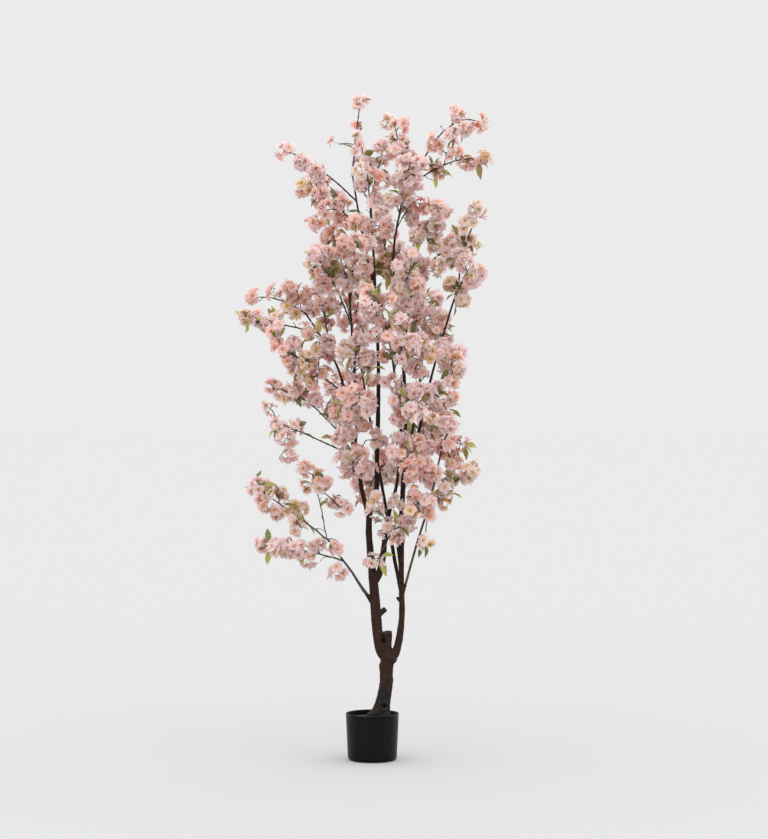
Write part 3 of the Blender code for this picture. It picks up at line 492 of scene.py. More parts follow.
# %% Rows of the masses
Mass = namedtuple("Mass", "name limb height tip bow first count reach seed arms")
Arm = namedtuple("Arm", "carrier share tip first count")
MASSES = [
    ("low_left_end", "low_left", 0.70, (-0.380, -0.06, 0.872), 0.02, 0.30, 9, 0.030, 22, [
        (0, 0.04, (-0.190, 0.02, 0.902), 0.66, 4), (1, 0.70, (-0.104, -0.02, 0.800), 0.20, 3),
        (0, 0.04, (-0.108, -0.05, 0.695), 0.90, 1)]),
    ("low_left_under", "low_left", 0.63, (-0.338, -0.10, 0.684), 0.03, 0.30, 9, 0.030, 19, [
        (0, 0.35, (-0.213, -0.05, 0.642), 0.80, 1), (0, 0.06, (-0.109, -0.05, 0.600), 0.90, 1)]),
    ("left_mid_end", "left_fork", 0.955, (-0.308, -0.09, 1.072), 0.01, 0.72, 4, 0.022, 49, [
        (0, 0.75, (-0.268, -0.11, 0.985), 0.35, 4), (0, 0.95, (-0.323, -0.05, 1.115), 0.90, 1)]),
    ("left_mid_rise", "left_fork", 0.945, (-0.320, 0.10, 1.177), 0.14, 0.50, 7, 0.022, 16, [
        (0, 0.40, (-0.130, 0.06, 1.145), 0.35, 3), (0, 0.25, (-0.120, 0.03, 1.090), 0.35, 3),
        (0, 0.70, (-0.250, 0.03, 1.210), 0.35, 3)]),
    ("left_shoulder", "left_high", 1.16, (-0.290, -0.13, 1.321), -0.02, 0.30, 8, 0.038, 34, [
        (0, 0.40, (-0.165, -0.06, 1.335), 0.35, 3)]),
    ("left_high_end", "left_high", 1.41, (-0.383, 0.06, 1.468), 0.10, 0.15, 5, 0.022, 5, [
        (0, 0.10, (-0.235, -0.05, 1.480), 0.35, 2)]),
    ("left_high_under", "left_high", 1.35, (-0.388, -0.06, 1.385), 0.03, 0.60, 5, 0.022, 12, []),
    ("left_inner_rise", "left_high", 1.29, (-0.174, 0.14, 1.485), 0.10, 0.40, 7, 0.038, 51, []),
    ("left_rise", "left_fork", 1.38, (-0.183, -0.13, 1.592), 0.08, 0.40, 8, 0.038, 6, []),
    ("left_crown", "left_fork", 1.48, (-0.130, 0.09, 1.686), 0.02, 0.15, 8, 0.041, 53, []),
    ("inner_left_rise", "left_fork", 1.44, (-0.050, -0.14, 1.650), 0.05, 0.20, 8, 0.041, 34, []),
    ("top_left_tip", "top_left", 1.86, (-0.040, 0.02, 2.082), 0.00, 0.20, 4, 0.014, 75, [
        (0, 0.40, (-0.108, 0.02, 1.952), 0.90, 1), (0, 0.06, (-0.035, -0.03, 1.900), 0.60, 2)]),
    ("top_left_arm", "top_left", 1.77, (-0.270, -0.09, 1.919), 0.06, 0.50, 5, 0.020, 18, []),
    ("top_left_low", "top_left", 1.67, (-0.205, 0.13, 1.836), 0.04, 0.35, 8, 0.035, 13, [
        (0, 0.40, (-0.170, 0.03, 1.735), 0.35, 3)]),
    ("centre_top", "left_stem", 1.815, (0.037, 0.07, 1.950), 0.00, 0.15, 6, 0.029, 37, []),
    ("centre_low", "left_stem", 1.60, (-0.016, -0.12, 1.849), 0.05, 0.60, 4, 0.029, 27, [
        (0, 0.30, (0.015, -0.08, 1.683), 0.35, 2)]),
    ("right_top", "right_stem", 1.805, (0.070, 0.00, 2.012), 0.00, 0.05, 9, 0.035, 11, []),
    ("right_top_front", "right_stem", 1.65, (0.118, -0.14, 1.872), 0.05, 0.40, 6, 0.032, 25, [
        (0, 0.30, (0.065, -0.10, 1.775), 0.35, 3), (0, 0.10, (0.130, -0.06, 1.760), 0.35, 3)]),
    ("top_right_tip", "right_stem", 1.78, (0.340, -0.07, 2.008), 0.26, 0.99, 1, 0.022, 62, [
        (0, 0.62, (0.262, -0.04, 2.048), 0.50, 2), (0, 0.72, (0.270, -0.10, 1.968), 0.50, 2),
        (0, 0.45, (0.212, -0.09, 1.935), 0.60, 3)]),
    ("top_right_low", "right_stem", 1.805, (0.357, 0.12, 1.912), 0.12, 0.64, 6, 0.022, 30, [
        (0, 0.30, (0.218, 0.04, 1.858), 0.40, 3), (0, 0.48, (0.236, 0.02, 1.925), 0.80, 1)]),
    ("right_arm", "right_stem", 1.54, (0.225, -0.12, 1.740), 0.03, 0.50, 7, 0.029, 19, [
        (0, 0.15, (0.185, 0.00, 1.545), 0.35, 3)]),
    ("right_high_end", "right_high", 1.59, (0.310, 0.13, 1.659), 0.05, 0.10, 8, 0.032, 73, []),
    ("far_right_top", "far_right", 1.57, (0.335, -0.07, 1.731), 0.05, 0.10, 6, 0.022, 44, []),
    ("far_right_high", "far_right", 1.45, (0.305, -0.12, 1.550), 0.05, 0.10, 7, 0.030, 8, []),
    ("far_right_back", "far_right", 1.33, (0.208, 0.16, 1.389), 0.05, 0.20, 6, 0.035, 6, []),
    ("far_right_mid", "far_right", 1.29, (0.250, -0.15, 1.231), 0.12, 0.30, 7, 0.035, 60, []),
    ("far_right_low", "far_right", 1.16, (0.240, 0.09, 1.105), 0.14, 0.30, 7, 0.035, 5, []),
    ("low_right_top", "low_right", 1.00, (0.246, -0.15, 1.050), 0.05, 0.00, 5, 0.026, 86, [
        (0, 0.10, (0.278, -0.06, 1.000), 0.35, 2), (0, 0.15, (0.246, -0.03, 0.945), 0.50, 2)]),
    ("low_right_end", "low_right", 0.76, (0.318, -0.08, 0.935), 0.07, 0.25, 9, 0.028, 9, [
        (0, 0.06, (0.166, -0.09, 0.694), 0.90, 1)]),
    ("low_right_in", "low_right", 0.80, (0.140, -0.17, 0.820), 0.05, 0.20, 5, 0.029, 67, []),
    ("front_low", "front_stem", 0.67, (0.100, -0.16, 0.740), 0.15, 0.40, 6, 0.035, 23, [
        (0, 0.30, (0.034, -0.10, 0.816), 0.45, 3), (0, 0.12, (0.014, -0.05, 0.628), 0.80, 2)]),
    ("front_mid", "front_stem", 0.94, (0.125, -0.20, 0.968), 0.15, 0.30, 7, 0.044, 1, [
        (0, 0.40, (0.165, -0.13, 0.910), 0.35, 3)]),
    ("front_left", "left_fork", 0.89, (-0.062, -0.14, 0.942), 0.15, 0.25, 7, 0.038, 85, [
        (0, 0.30, (-0.105, -0.08, 1.015), 0.35, 3), (0, 0.55, (-0.020, -0.10, 1.012), 0.50, 2)]),
    ("front_left_up", "left_fork", 1.04, (-0.040, -0.20, 1.131), 0.10, 0.30, 7, 0.038, 64, [
        (0, 0.40, (-0.080, -0.10, 1.120), 0.35, 2)]),
    ("left_centre", "left_fork", 1.20, (-0.050, -0.14, 1.290), 0.05, 0.25, 6, 0.040, 42, [
        (0, 0.40, (-0.010, -0.09, 1.240), 0.35, 2)]),
    ("front_high", "front_stem", 1.23, (0.110, -0.25, 1.334), 0.05, 0.20, 7, 0.048, 80, [
        (0, 0.30, (0.150, -0.16, 1.260), 0.35, 4)]),
    ("front_crown", "front_stem", 1.305, (0.019, -0.22, 1.444), 0.05, 0.10, 9, 0.048, 24, []),
    ("front_right", "front_stem", 1.06, (0.110, -0.24, 1.137), 0.05, 0.30, 7, 0.041, 45, [
        (0, 0.30, (0.090, -0.16, 1.215), 0.35, 3), (0, 0.40, (0.178, -0.14, 1.228), 0.40, 3)]),
    ("crown_front", "right_stem", 1.40, (0.117, -0.18, 1.538), 0.05, 0.30, 8, 0.048, 68, []),
    ("back_left_mid", "back_left_stem", 1.04, (-0.110, 0.22, 1.191), 0.05, 0.30, 6, 0.044, 50, [
        (0, 0.35, (-0.040, 0.13, 1.120), 0.35, 3)]),
    ("back_left_top", "back_left_stem", 1.265, (-0.091, 0.21, 1.469), 0.05, 0.10, 7, 0.048, 20, [
        (0, 0.50, (-0.010, 0.11, 1.560), 0.35, 3)]),
    ("back_centre", "back_left_stem", 0.92, (0.063, 0.21, 0.917), 0.10, 0.30, 6, 0.044, 66, [
        (0, 0.35, (-0.020, 0.10, 0.840), 0.35, 3)]),
    ("back_right_mid", "back_right_stem", 1.01, (0.190, 0.23, 1.042), 0.05, 0.30, 6, 0.044, 38, [
        (0, 0.35, (0.150, 0.11, 0.900), 0.35, 4)]),
    ("back_right_top", "back_right_stem", 1.25, (0.172, 0.23, 1.469), 0.05, 0.10, 7, 0.048, 81, [
        (0, 0.50, (0.130, 0.11, 1.400), 0.35, 3)]),
    ("back_crown", "right_stem", 1.46, (0.020, 0.20, 1.700), 0.05, 0.30, 7, 0.048, 33, []),
]
print("masses to grow:", len(MASSES))

# %% Numbers of the growth rule
STEM_STEP = 0.050
STEM_RADIUS = (0.0028, 0.0016)  # at its foot and at its tip
ARM_BOW = 0.08
TWIG_RADIUS = 0.0014
TWIG_SHARES = (0.5, 1.15)  # a twig's length, as shares of the mass's reach
TWIG_START = 0.006  # the length at its foot that may run along its stem
TURN = 2.4  # radians round the stem from one bloom to the next
LEAN_OUT = 0.5  # how far a twig leans towards the tip of its stem
BLOOM_RADIUS = (0.028, 0.035)
LEAF_LENGTH = (0.045, 0.060)
LEAF_WIDTH = 0.4
LEAF_CHANCE = 0.27
MOST_LEAVES = 1  # on one mass
LEAF_TURN = 2.0  # radians round the stem from its bloom
LEAF_LEAN = 0.9
TRIES = 9
RETRY_TURN = 0.9
OWN_SPACING = 0.88  # least distance between blooms of one mass, as a share of their two radii
CLEARANCE = 0.0012  # between two masses, and between a mass and any limb but its own

# %% Curves and distances
def unit(vector):
    """The vector at length 1."""
    return vector / np.linalg.norm(vector)


def smooth_curve(rows, step):
    """Rows of x, y, z and radius about every step along a smooth curve through the given rows."""
    rows = np.array(rows, float)
    rows = np.vstack([2 * rows[0] - rows[1], rows, 2 * rows[-1] - rows[-2]])
    curve = []
    for before, start, end, after in zip(rows, rows[1:], rows[2:], rows[3:]):
        count = max(1, round(np.linalg.norm((end - start)[:3]) / step))
        for t in np.arange(count) / count:
            linear = end - before
            square = 2 * before - 5 * start + 4 * end - after
            cube = 3 * start - before - 3 * end + after
            curve.append(start + 0.5 * t * (linear + t * (square + t * cube)))
    curve.append(rows[-2])
    return np.array(curve)


def row_at_height(curve, height):
    """The curve's row where it passes this height, or its last row."""
    for start, end in zip(curve, curve[1:]):
        if start[2] <= height < end[2]:
            return start + (end - start) * (height - start[2]) / (end[2] - start[2])
    return curve[-1]


def row_at_share(curve, share):
    """The curve's row at this share of its length, and its direction there."""
    place = share * (len(curve) - 1)
    index = min(int(place), len(curve) - 2)
    span = curve[index + 1] - curve[index]
    return curve[index] + span * (place - index), unit(span[:3])


def bowed_curve(start, tip, bow, radii):
    """A stem from start to tip whose middle is raised by a share of its length."""
    start, tip = np.array(start), np.array(tip)
    length = np.linalg.norm(tip - start)
    raised = (start + tip) / 2 + np.array([0, 0, 2 * bow * length])
    count = max(2, round(length / STEM_STEP))
    rows = []
    for t in np.linspace(0, 1, count + 1):
        point = (1 - t) ** 2 * start + 2 * t * (1 - t) * raised + t * t * tip
        rows.append([*point, radii[0] + (radii[1] - radii[0]) * t])
    return np.array(rows)


def segment_distances(start, end, starts, ends):
    """Distances from one segment to each of many."""
    along, spans, offset = end - start, ends - starts, start - starts
    a, e = along @ along + 1e-12, np.einsum("ij,ij->i", spans, spans) + 1e-12
    b, c, f = spans @ along, offset @ along, np.einsum("ij,ij->i", spans, offset)
    s = np.clip((b * f - c * e) / np.maximum(a * e - b * b, 1e-12), 0, 1)
    t = np.clip((b * s + f) / e, 0, 1)
    s = np.clip((b * t - c) / a, 0, 1)
    near = start + np.outer(s, along) - starts - spans * t[:, None]
    return np.linalg.norm(near, axis=1)


# %% Room between the masses
class Space:
    """The room that limbs and masses take up: capsules, each with its owner's name."""

    def __init__(self):
        self.capsules = np.zeros((0, 7))
        self.owners = []

    def add(self, owner, start, end, radius):
        self.capsules = np.vstack([self.capsules, [*start, *end, radius]])
        self.owners.append(owner)

    def add_curve(self, owner, curve):
        for start, end in zip(curve, curve[1:]):
            self.add(owner, start[:3], end[:3], max(start[3], end[3]))

    def is_clear(self, start, end, radius, friends):
        """Whether a capsule keeps its clearance from every capsule with another owner."""
        others = np.array([owner not in friends for owner in self.owners])
        rows = self.capsules[others]
        if not len(rows):
            return True
        distances = segment_distances(np.array(start), np.array(end), rows[:, :3], rows[:, 3:6])
        return bool((distances > rows[:, 6] + radius + CLEARANCE).all())


# %% Stems and twigs of a mass
def side_direction(axis, turn, lean):
    """A direction out of a stem, turned about its axis and leaning along it."""
    side = np.cross(axis, [0, 0, 1])
    side = unit(side) if np.linalg.norm(side) > 0.1 else np.array([1.0, 0, 0])
    up = np.cross(side, axis)
    return unit(side * math.cos(turn) + up * math.sin(turn) + axis * lean)


def grow_along(stem, first, count, reach, rng):
    """Twigs off one stem, as (foot, axis, direction, length, turn), the last on the stem's tip."""
    turn = rng.uniform(0, 2 * math.pi)
    twigs = []
    for index in range(count):
        share = 1 - (1 - first) * (count - 1 - index) / max(1, count - 1)
        row, axis = row_at_share(stem, share)
        turn += TURN
        at_tip = index == count - 1
        length = 0.0 if at_tip else rng.uniform(*TWIG_SHARES) * reach
        direction = axis if at_tip else side_direction(axis, turn, LEAN_OUT)
        twigs.append((row[:3], axis, direction, length, turn))
    return twigs


def mass_stems(mass, limbs):
    """The stem of a mass, then its arms, as (curve, first share, count) each."""
    foot = row_at_height(limbs[mass.limb], mass.height)[:3]
    stems = [(bowed_curve(foot, mass.tip, mass.bow, STEM_RADIUS), mass.first, mass.count)]
    for arm in map(Arm._make, mass.arms):
        foot = row_at_share(stems[arm.carrier][0], arm.share)[0][:3]
        curve = bowed_curve(foot, arm.tip, ARM_BOW, (STEM_RADIUS[1], STEM_RADIUS[1]))
        stems.append((curve, arm.first, arm.count))
    return stems


# %% Bunches and leaves of a mass
def fits(name, centre, radius, blooms, space):
    """Whether a bloom stands far enough from the others of its mass, and clear of the rest."""
    for foot, other, direction, other_radius in blooms:
        if np.linalg.norm(centre - other) <= OWN_SPACING * (radius + other_radius):
            return False
    return space.is_clear(centre, centre, radius, (name,))


def grow_mass(mass, stems, space):
    """The blooms and leaves of one mass, with what would touch a neighbour left out."""
    rng = random.Random(f"{mass.name} {mass.seed}")
    blooms, leaves = [], []
    for stem, first, count in stems:
        for foot, axis, direction, length, turn in grow_along(stem, first, count, mass.reach, rng):
            radius = rng.uniform(*BLOOM_RADIUS)
            for attempt in range(TRIES):
                centre = foot + direction * length
                if fits(mass.name, centre, radius, blooms, space):
                    break
                direction = side_direction(axis, turn + RETRY_TURN * (attempt + 1), LEAN_OUT)
                length = mass.reach
            else:
                continue
            start = foot + direction * TWIG_START
            if length > 0 and not space.is_clear(start, centre, TWIG_RADIUS, (mass.name,)):
                continue
            space.add(mass.name, centre, centre, radius)
            blooms.append((foot, centre, direction, radius))
            if rng.random() < LEAF_CHANCE:
                leaf = side_direction(axis, turn + LEAF_TURN, LEAF_LEAN)
                leaf_length = rng.uniform(*LEAF_LENGTH)
                room = 0.5 * LEAF_WIDTH * leaf_length
                clear = space.is_clear(foot, foot + leaf * leaf_length, room, (mass.name, mass.limb))
                if clear and len(leaves) < MOST_LEAVES:
                    leaves.append((foot, leaf, leaf_length))
    return blooms, leaves


# %% Grow the whole crown
def grow_crown():
    """Each mass as its name, stems, bunches and leaves."""
    limbs = {"trunk": smooth_curve(TRUNK, TRUNK_STEP)}
    for name, rows in LIMBS.items():
        limbs[name] = smooth_curve(rows, LIMB_STEP)
    space = Space()
    for name, curve in limbs.items():
        space.add_curve(name, curve)
    for limb, foot, end, radius in STUBS:
        space.add(limb, foot, end, radius)
    rows = [Mass(*row) for row in MASSES]
    stems = {mass.name: mass_stems(mass, limbs) for mass in rows}
    for name, curves in stems.items():
        for curve, first, count in curves:
            space.add_curve(name, curve)
    return [(mass.name, stems[mass.name], *grow_mass(mass, stems[mass.name], space)) for mass in rows]


masses = grow_crown()
bunch_count = sum(len(blooms) for name, stems, blooms, leaves in masses)
leaf_count = sum(len(leaves) for name, stems, blooms, leaves in masses)
print("crown:", len(masses), "masses,", bunch_count, "bunches,", leaf_count, "leaves of the frame")

# %% [markdown]
# ## Bark
#
# The wood of a made tree is a moulded shell over a steel rod: dark brown, with long shallow
# furrows and a fine roughness, greyer near the pot. We make the furrows real, as relief in the
# mesh, and leave only the finest grain to bump. The relief is noise read at each point's own
# place, stretched up the tree, so it runs on from one limb to the next.

# %% Bark finishes
BARK_NUMBERS = dict(  # shared by the two barks
    scale=340.0, roughness=0.80, specular=0.14, stretch=0.45, grain=(520.0, 0.45),
    bump=0.55, bump_height=0.0006, dust=0.10)
BARE_WOOD = dict(grain=(700.0, 0.3), bump=0.4, bump_height=0.0004)
bark = finish_of("bark", (0.043, 0.0192, 0.0122), (0.0034, 0.0018, 0.0014), **BARK_NUMBERS)
foot_bark = finish_of("foot_bark", (0.019, 0.0142, 0.0105), (0.0022, 0.0017, 0.0013), **BARK_NUMBERS)
# sawn wood on the cut faces, and the same brown as a ring that softens the edge of the painted shade in the
# front hollows
sawn_wood = finish_of("sawn_wood", (0.030, 0.019, 0.014), (0.009, 0.0055, 0.0045),
                      160.0, 0.85, specular=0.2, **BARE_WOOD)
# painted shade: a near-black brown laid in the middle of the two front hollows, where shade falls
hollow_wood = finish_of("hollow_wood", (0.0050, 0.0036, 0.0030), (0.0018, 0.0013, 0.0011),
                        200.0, 0.95, specular=0.05, **BARE_WOOD)
twig_bark = finish_of("twig_bark", (0.085, 0.065, 0.058), (0.024, 0.016, 0.014), 130.0, 0.72,
                      specular=0.25, stretch=0.6, grain=(900.0, 0.5), bump=0.4, bump_height=0.0003)
print("wood finishes:", ", ".join(wood.name for wood in (bark, foot_bark, sawn_wood, hollow_wood, twig_bark)))

# %% Bark relief
FURROWS = 95.0  # furrows to a metre round the limb
FURROW_STRETCH = 0.22
LUMPS, WAVES = 240.0, 28.0  # to a metre
FURROW_DEPTH, LUMP_HEIGHT, WAVE_HEIGHT = 0.055, 0.060, 0.060  # of the limb's radius
FURROW_TOP, FURROW_CUT = 0.5, 1.6  # of a furrow's depth: its banks, and how steeply it falls
LIP_PLACE, LIP_WIDTH, BOWL_WIDTH = 1.15, 0.4, 0.75  # of a hollow's size
HOLLOWS = [  # centre, width, height, depth and lip: the foot's knot, the top stub's side and its top
    ((0.037, -0.021, 0.171), 0.0105, 0.0105, 0.0110, 0.35),
    ((0.0355, -0.0155, 0.378), 0.0095, 0.0170, 0.0110, 0.10),
    ((0.0455, -0.004, 0.408), 0.0100, 0.0100, 0.0030, 0.0),
]
KNOBS = [  # centre, width and height
    ((0.021, -0.004, 0.297), 0.010, 0.0060), ((0.023, -0.010, 0.282), 0.009, 0.0030),
    ((0.030, -0.020, 0.243), 0.010, 0.0020), ((0.066, 0.006, 0.252), 0.011, 0.0025),
    ((0.014, -0.020, 0.150), 0.012, 0.0060), ((0.000, -0.010, 0.141), 0.011, 0.0040),
    ((0.048, -0.022, 0.143), 0.010, 0.0040), ((0.060, 0.012, 0.385), 0.009, 0.0020),
]


def bark_relief(point, radius):
    """How far the bark stands out over a point of a limb: long furrows, with lumps on them."""
    x, y, z = point
    furrow = abs(noise.noise(Vector((x * FURROWS, y * FURROWS, z * FURROWS * FURROW_STRETCH))))
    lumps = noise.fractal(Vector((x, y, z)) * LUMPS, 1.0, 2.0, 3)
    waves = noise.noise(Vector((x, y, z)) * WAVES)
    furrows = FURROW_DEPTH * (FURROW_TOP - FURROW_CUT * furrow)
    return radius * (furrows + LUMP_HEIGHT * lumps + WAVE_HEIGHT * waves)


def trunk_marks(point):
    """The hollows with their raised lips, and the knobs, as height over the trunk."""
    total = 0.0
    for centre, width, height, depth, lip in HOLLOWS:
        x, y, z = np.subtract(point, centre)
        away = math.hypot(x / width, y / width, z / height)
        raised = lip * math.exp(-((away - LIP_PLACE) / LIP_WIDTH) ** 2)
        total += depth * (raised - math.exp(-(away / BOWL_WIDTH) ** 2))
    for centre, width, height in KNOBS:
        total += height * math.exp(-(math.dist(point, centre) / width) ** 2)
    return total


# %% Tubes of wood
def frames_along(curve):
    """Two cross directions for each row of a curve, carried along it without twist."""
    axes = np.gradient(curve[:, :3], axis=0)
    axes /= np.linalg.norm(axes, axis=1)[:, None]
    side = unit(np.cross(axes[0], [0.3, 1.0, 0.1]))
    frames = []
    for axis in axes:
        side = unit(side - axis * (side @ axis))
        frames.append((side, np.cross(axis, side)))
    return np.array(frames)


def tube_rings(curve, sides, radii=None):
    """Rings of points round a curve."""
    frames = frames_along(curve)
    angles = 2 * math.pi * np.arange(sides) / sides
    radii = curve[:, 3] if radii is None else radii
    cos, sin = np.cos(angles)[None, :, None], np.sin(angles)[None, :, None]
    out = frames[:, None, 0] * cos + frames[:, None, 1] * sin
    return curve[:, None, :3] + out * np.asarray(radii).reshape(len(curve), -1)[:, :, None], out


def lengths_along(curve):
    """The length along a curve from its start to each of its rows."""
    steps = np.linalg.norm(np.diff(curve[:, :3], axis=0), axis=1)
    return np.concatenate([[0.0], np.cumsum(steps)])


# %% Collars and blunt ends
COLLAR = 0.28  # how much wider a limb is where it leaves the one that carries it
COLLAR_LENGTH = 2.2  # in its own radii, from the surface of that limb
LIMB_SIDES = 18
WOOD_STEP = 0.0035
BLUNT_TIP = 0.04  # of its radius: the least distance from the tip, where a limb rounds off


def collared(curve, carrier_radius):
    """The radii of a limb that swells where it leaves its carrier."""
    along = lengths_along(curve)
    beyond = np.maximum(0.0, along - carrier_radius) / (COLLAR_LENGTH * curve[0, 3])
    return curve[:, 3] * (1 + COLLAR * np.exp(-beyond ** 2))


def bark_tube(curve, radii):
    """A limb with bark relief along it and a rounded tip."""
    along = lengths_along(curve)
    from_tip = np.clip((along[-1] - along) / curve[-1, 3], BLUNT_TIP, 1.0)
    rings, out = tube_rings(curve, LIMB_SIDES, radii * np.sqrt(1 - (1 - from_tip) ** 2))
    for ring_points, ring_out, radius in zip(rings, out, curve[:, 3]):
        for index, point in enumerate(ring_points):
            ring_points[index] = point + ring_out[index] * bark_relief(point, radius)
    return closed_tube(rings)


# %% [markdown]
# ## The trunk and the lower forks
#
# Where a trunk parts into stems, and a stem into boughs, real wood has no seam: one surface runs
# over each fork. Overlapping tubes would leave sharp creases, so we melt the trunk and the lower
# lengths of seven limbs into one skin with a voxel remesh, smooth it a little, and then raise the
# bark on it. The upper lengths are plain tubes that start inside this skin.

# %% Trunk skin
SKIN_TOPS = {  # the skin covers these limbs up to here
    "left_stem": 0.720, "right_stem": 0.650, "front_stem": 0.705, "low_left": 0.545,
    "low_right": 0.580, "back_left_stem": 0.620, "back_right_stem": 0.675,
}
CARRIERS = {  # which limb each one leaves
    "left_fork": "left_stem", "front_stem": "left_stem", "back_left_stem": "right_stem",
    "back_right_stem": "right_stem", "low_left": "left_stem", "low_right": "right_stem",
    "left_high": "left_fork", "far_right": "right_stem", "right_high": "right_stem", "top_left": "left_stem",
}
SKIN_VOXEL = 0.0014
SKIN_SMOOTHING = 6
SKIN_FADE = 0.030  # length over which its arms draw in under the tubes
ARM_WIDTHS = (0.80, 0.20)  # an arm's share of its radius at its end, and what it gains below that
TRUNK_SIDES, ARM_SIDES = 40, 24
SKIN_SINK = 0.003  # into the fill
SKIN_STEP = 0.004


def carrier_radius(name, rows):
    """The radius of the limb that carries this one, where it leaves."""
    if name not in CARRIERS:
        return 0.0
    return row_at_height(smooth_curve(LIMBS[CARRIERS[name]], WOOD_STEP), rows[0][2])[3]


def root_flare(height, out):
    """How far the trunk stands out past its radius, for the lobes where roots would start."""
    total = 0.0
    for degrees, reach, fade in ROOT_LOBES:
        towards = out[0] * math.cos(math.radians(degrees)) + out[1] * math.sin(math.radians(degrees))
        total += reach * max(0.0, towards) ** LOBE_SHARPNESS * math.exp(-(height - TRUNK[0][2]) / fade)
    return total


def trunk_tube():
    """The trunk with its root lobes, sunk a little into the fill."""
    curve = smooth_curve(TRUNK, SKIN_STEP)
    rings, out = tube_rings(curve, TRUNK_SIDES)
    for ring_points, ring_out, row in zip(rings, out, curve):
        for index in range(len(ring_points)):
            ring_points[index] += ring_out[index] * root_flare(row[2], ring_out[index])
    rings[0][:, 2] = TRUNK[0][2] - SKIN_SINK
    return closed_tube(rings)


def lower_tube(name, top):
    """The first length of a limb, thinner towards its upper end so that it hides in the tube."""
    curve = smooth_curve(LIMBS[name], SKIN_STEP)
    radii = collared(curve, carrier_radius(name, LIMBS[name])) if name in CARRIERS else curve[:, 3]
    low = curve[:, 2] < top
    curve, radii = curve[low], radii[low]
    fade = np.clip((top - curve[:, 2]) / SKIN_FADE, 0, 1)
    return closed_tube(tube_rings(curve, ARM_SIDES, radii * (ARM_WIDTHS[0] + ARM_WIDTHS[1] * fade))[0])


# %% Sawn stubs
STUB_RINGS, STUB_SIDES = 15, 20
STUB_COLLAR, STUB_COLLAR_LENGTH = 0.45, 0.45  # how much wider its foot is, and for how much of it
STUB_BEVEL = (1.0, 1.04, 1.0, 0.86)  # radii of its last rings, from its waist to its cut
HEEL_START, HEEL_LENGTH = 0.55, 0.45  # where along it a heel rounds off
HEEL_END = 0.01  # least square of the radius there


def stub_tube(foot, end, radius, rounded):
    """A sawn stub: wide at its foot, and bevelled at its cut end or rounded off like a heel."""
    foot, end = np.array(foot), np.array(end)
    shares = np.linspace(0, 1, STUB_RINGS)
    if rounded:
        past = np.maximum(0, shares - HEEL_START)
        radii = radius * np.sqrt(np.maximum(HEEL_END, 1 - past ** 2 / HEEL_LENGTH ** 2))
    else:
        radii = radius * (1 + STUB_COLLAR * np.exp(-(shares / STUB_COLLAR_LENGTH) ** 2))
        radii[-len(STUB_BEVEL):] = radius * np.array(STUB_BEVEL)
    rows = np.column_stack([foot + np.outer(shares, end - foot), radii])
    return closed_tube(tube_rings(rows, STUB_SIDES)[0])


# %% Melt the tubes into one skin
def evaluated_mesh(mesh, add_modifiers):
    """The mesh after its modifiers."""
    body = bpy.data.objects.new("helper", mesh)
    bpy.context.scene.collection.objects.link(body)
    add_modifiers(body)
    made = bpy.data.meshes.new_from_object(body.evaluated_get(bpy.context.evaluated_depsgraph_get()))
    bpy.data.objects.remove(body)
    return made


def melt(body):
    """Modifiers that melt overlapping tubes into one skin."""
    remesh = body.modifiers.new("remesh", "REMESH")
    remesh.mode, remesh.voxel_size, remesh.use_smooth_shade = "VOXEL", SKIN_VOXEL, True
    smooth = body.modifiers.new("smooth", "SMOOTH")
    smooth.factor, smooth.iterations = 0.5, SKIN_SMOOTHING


# %% Raise the bark
BARK_RADII = [(0.33, 0.021), (0.45, 0.015), (0.60, 0.012), (1.00, 0.009)]  # below this height


def raise_bark(mesh):
    """Moves each point along its normal by the bark's relief and the trunk's marks."""
    moved = []
    for vert in mesh.vertices:
        point = vert.co
        radius = next(radius for height, radius in BARK_RADII if point.z < height)
        moved.append(point + vert.normal * (bark_relief(point, radius) + trunk_marks(point)))
    for vert, place in zip(mesh.vertices, moved):
        vert.co = place


# %% Which bark goes where on the trunk, and where its front hollows are painted with shade
CUTS = [  # middle, direction and radius of each sawn face
    ((0.0455, -0.004, 0.405), (0.0, 0.0, 1.0), 0.0150),
    ((0.042, -0.016, 0.478), (0.764, -0.305, 0.586), 0.0075),
    ((0.078, -0.009, 0.514), (-0.774, -0.497, 0.387), 0.0045),
]
CUT_DEPTH = 0.0022  # of sawn wood, at a cut
FOOT_HEIGHT, FOOT_BLEND, FOOT_SPECKS = 0.235, 0.045, 150.0  # where the greyer foot ends, and how
# inside the first share of a hollow's size its colour is painted near-black shade, and out to the second a
# brown ring softens that painted shade's edge
DARKEST, HOLLOW_SHADE_RIM = 0.50, 0.90  # shares of a hollow's size
# painted shade: how far in front of or behind a hollow's middle its painted shade reaches
HOLLOW_REACH = 0.014  # how far in or out of a hollow's middle its wood is dark


def wood_of(face):
    """0 for brown bark, 1 for the grey bark of the foot, 2 for sawn wood and for the brown ring round a
    hollow's painted shade, 3 for the near-black painted shade in a hollow.
    """
    place = np.array(face.center)
    # painted shade: the middle of each front hollow is coloured near black, ringed with sawn-wood brown
    for centre, width, height, depth, lip in HOLLOWS[:2]:  # both face the front
        x, y, z = place - np.array(centre)
        away = math.hypot(x / width, z / height)
        if away < HOLLOW_SHADE_RIM and abs(y) < HOLLOW_REACH:
            return 3 if away < DARKEST else 2
    for middle, direction, radius in CUTS:
        offset, direction = place - np.array(middle), np.array(direction)
        along = offset @ direction
        if along > -CUT_DEPTH and np.linalg.norm(offset - direction * along) < radius:
            return 2
    speckle = noise.fractal(face.center * FOOT_SPECKS, 0.8, 2.0, 3)
    return int(place[2] < FOOT_HEIGHT + FOOT_BLEND * speckle)


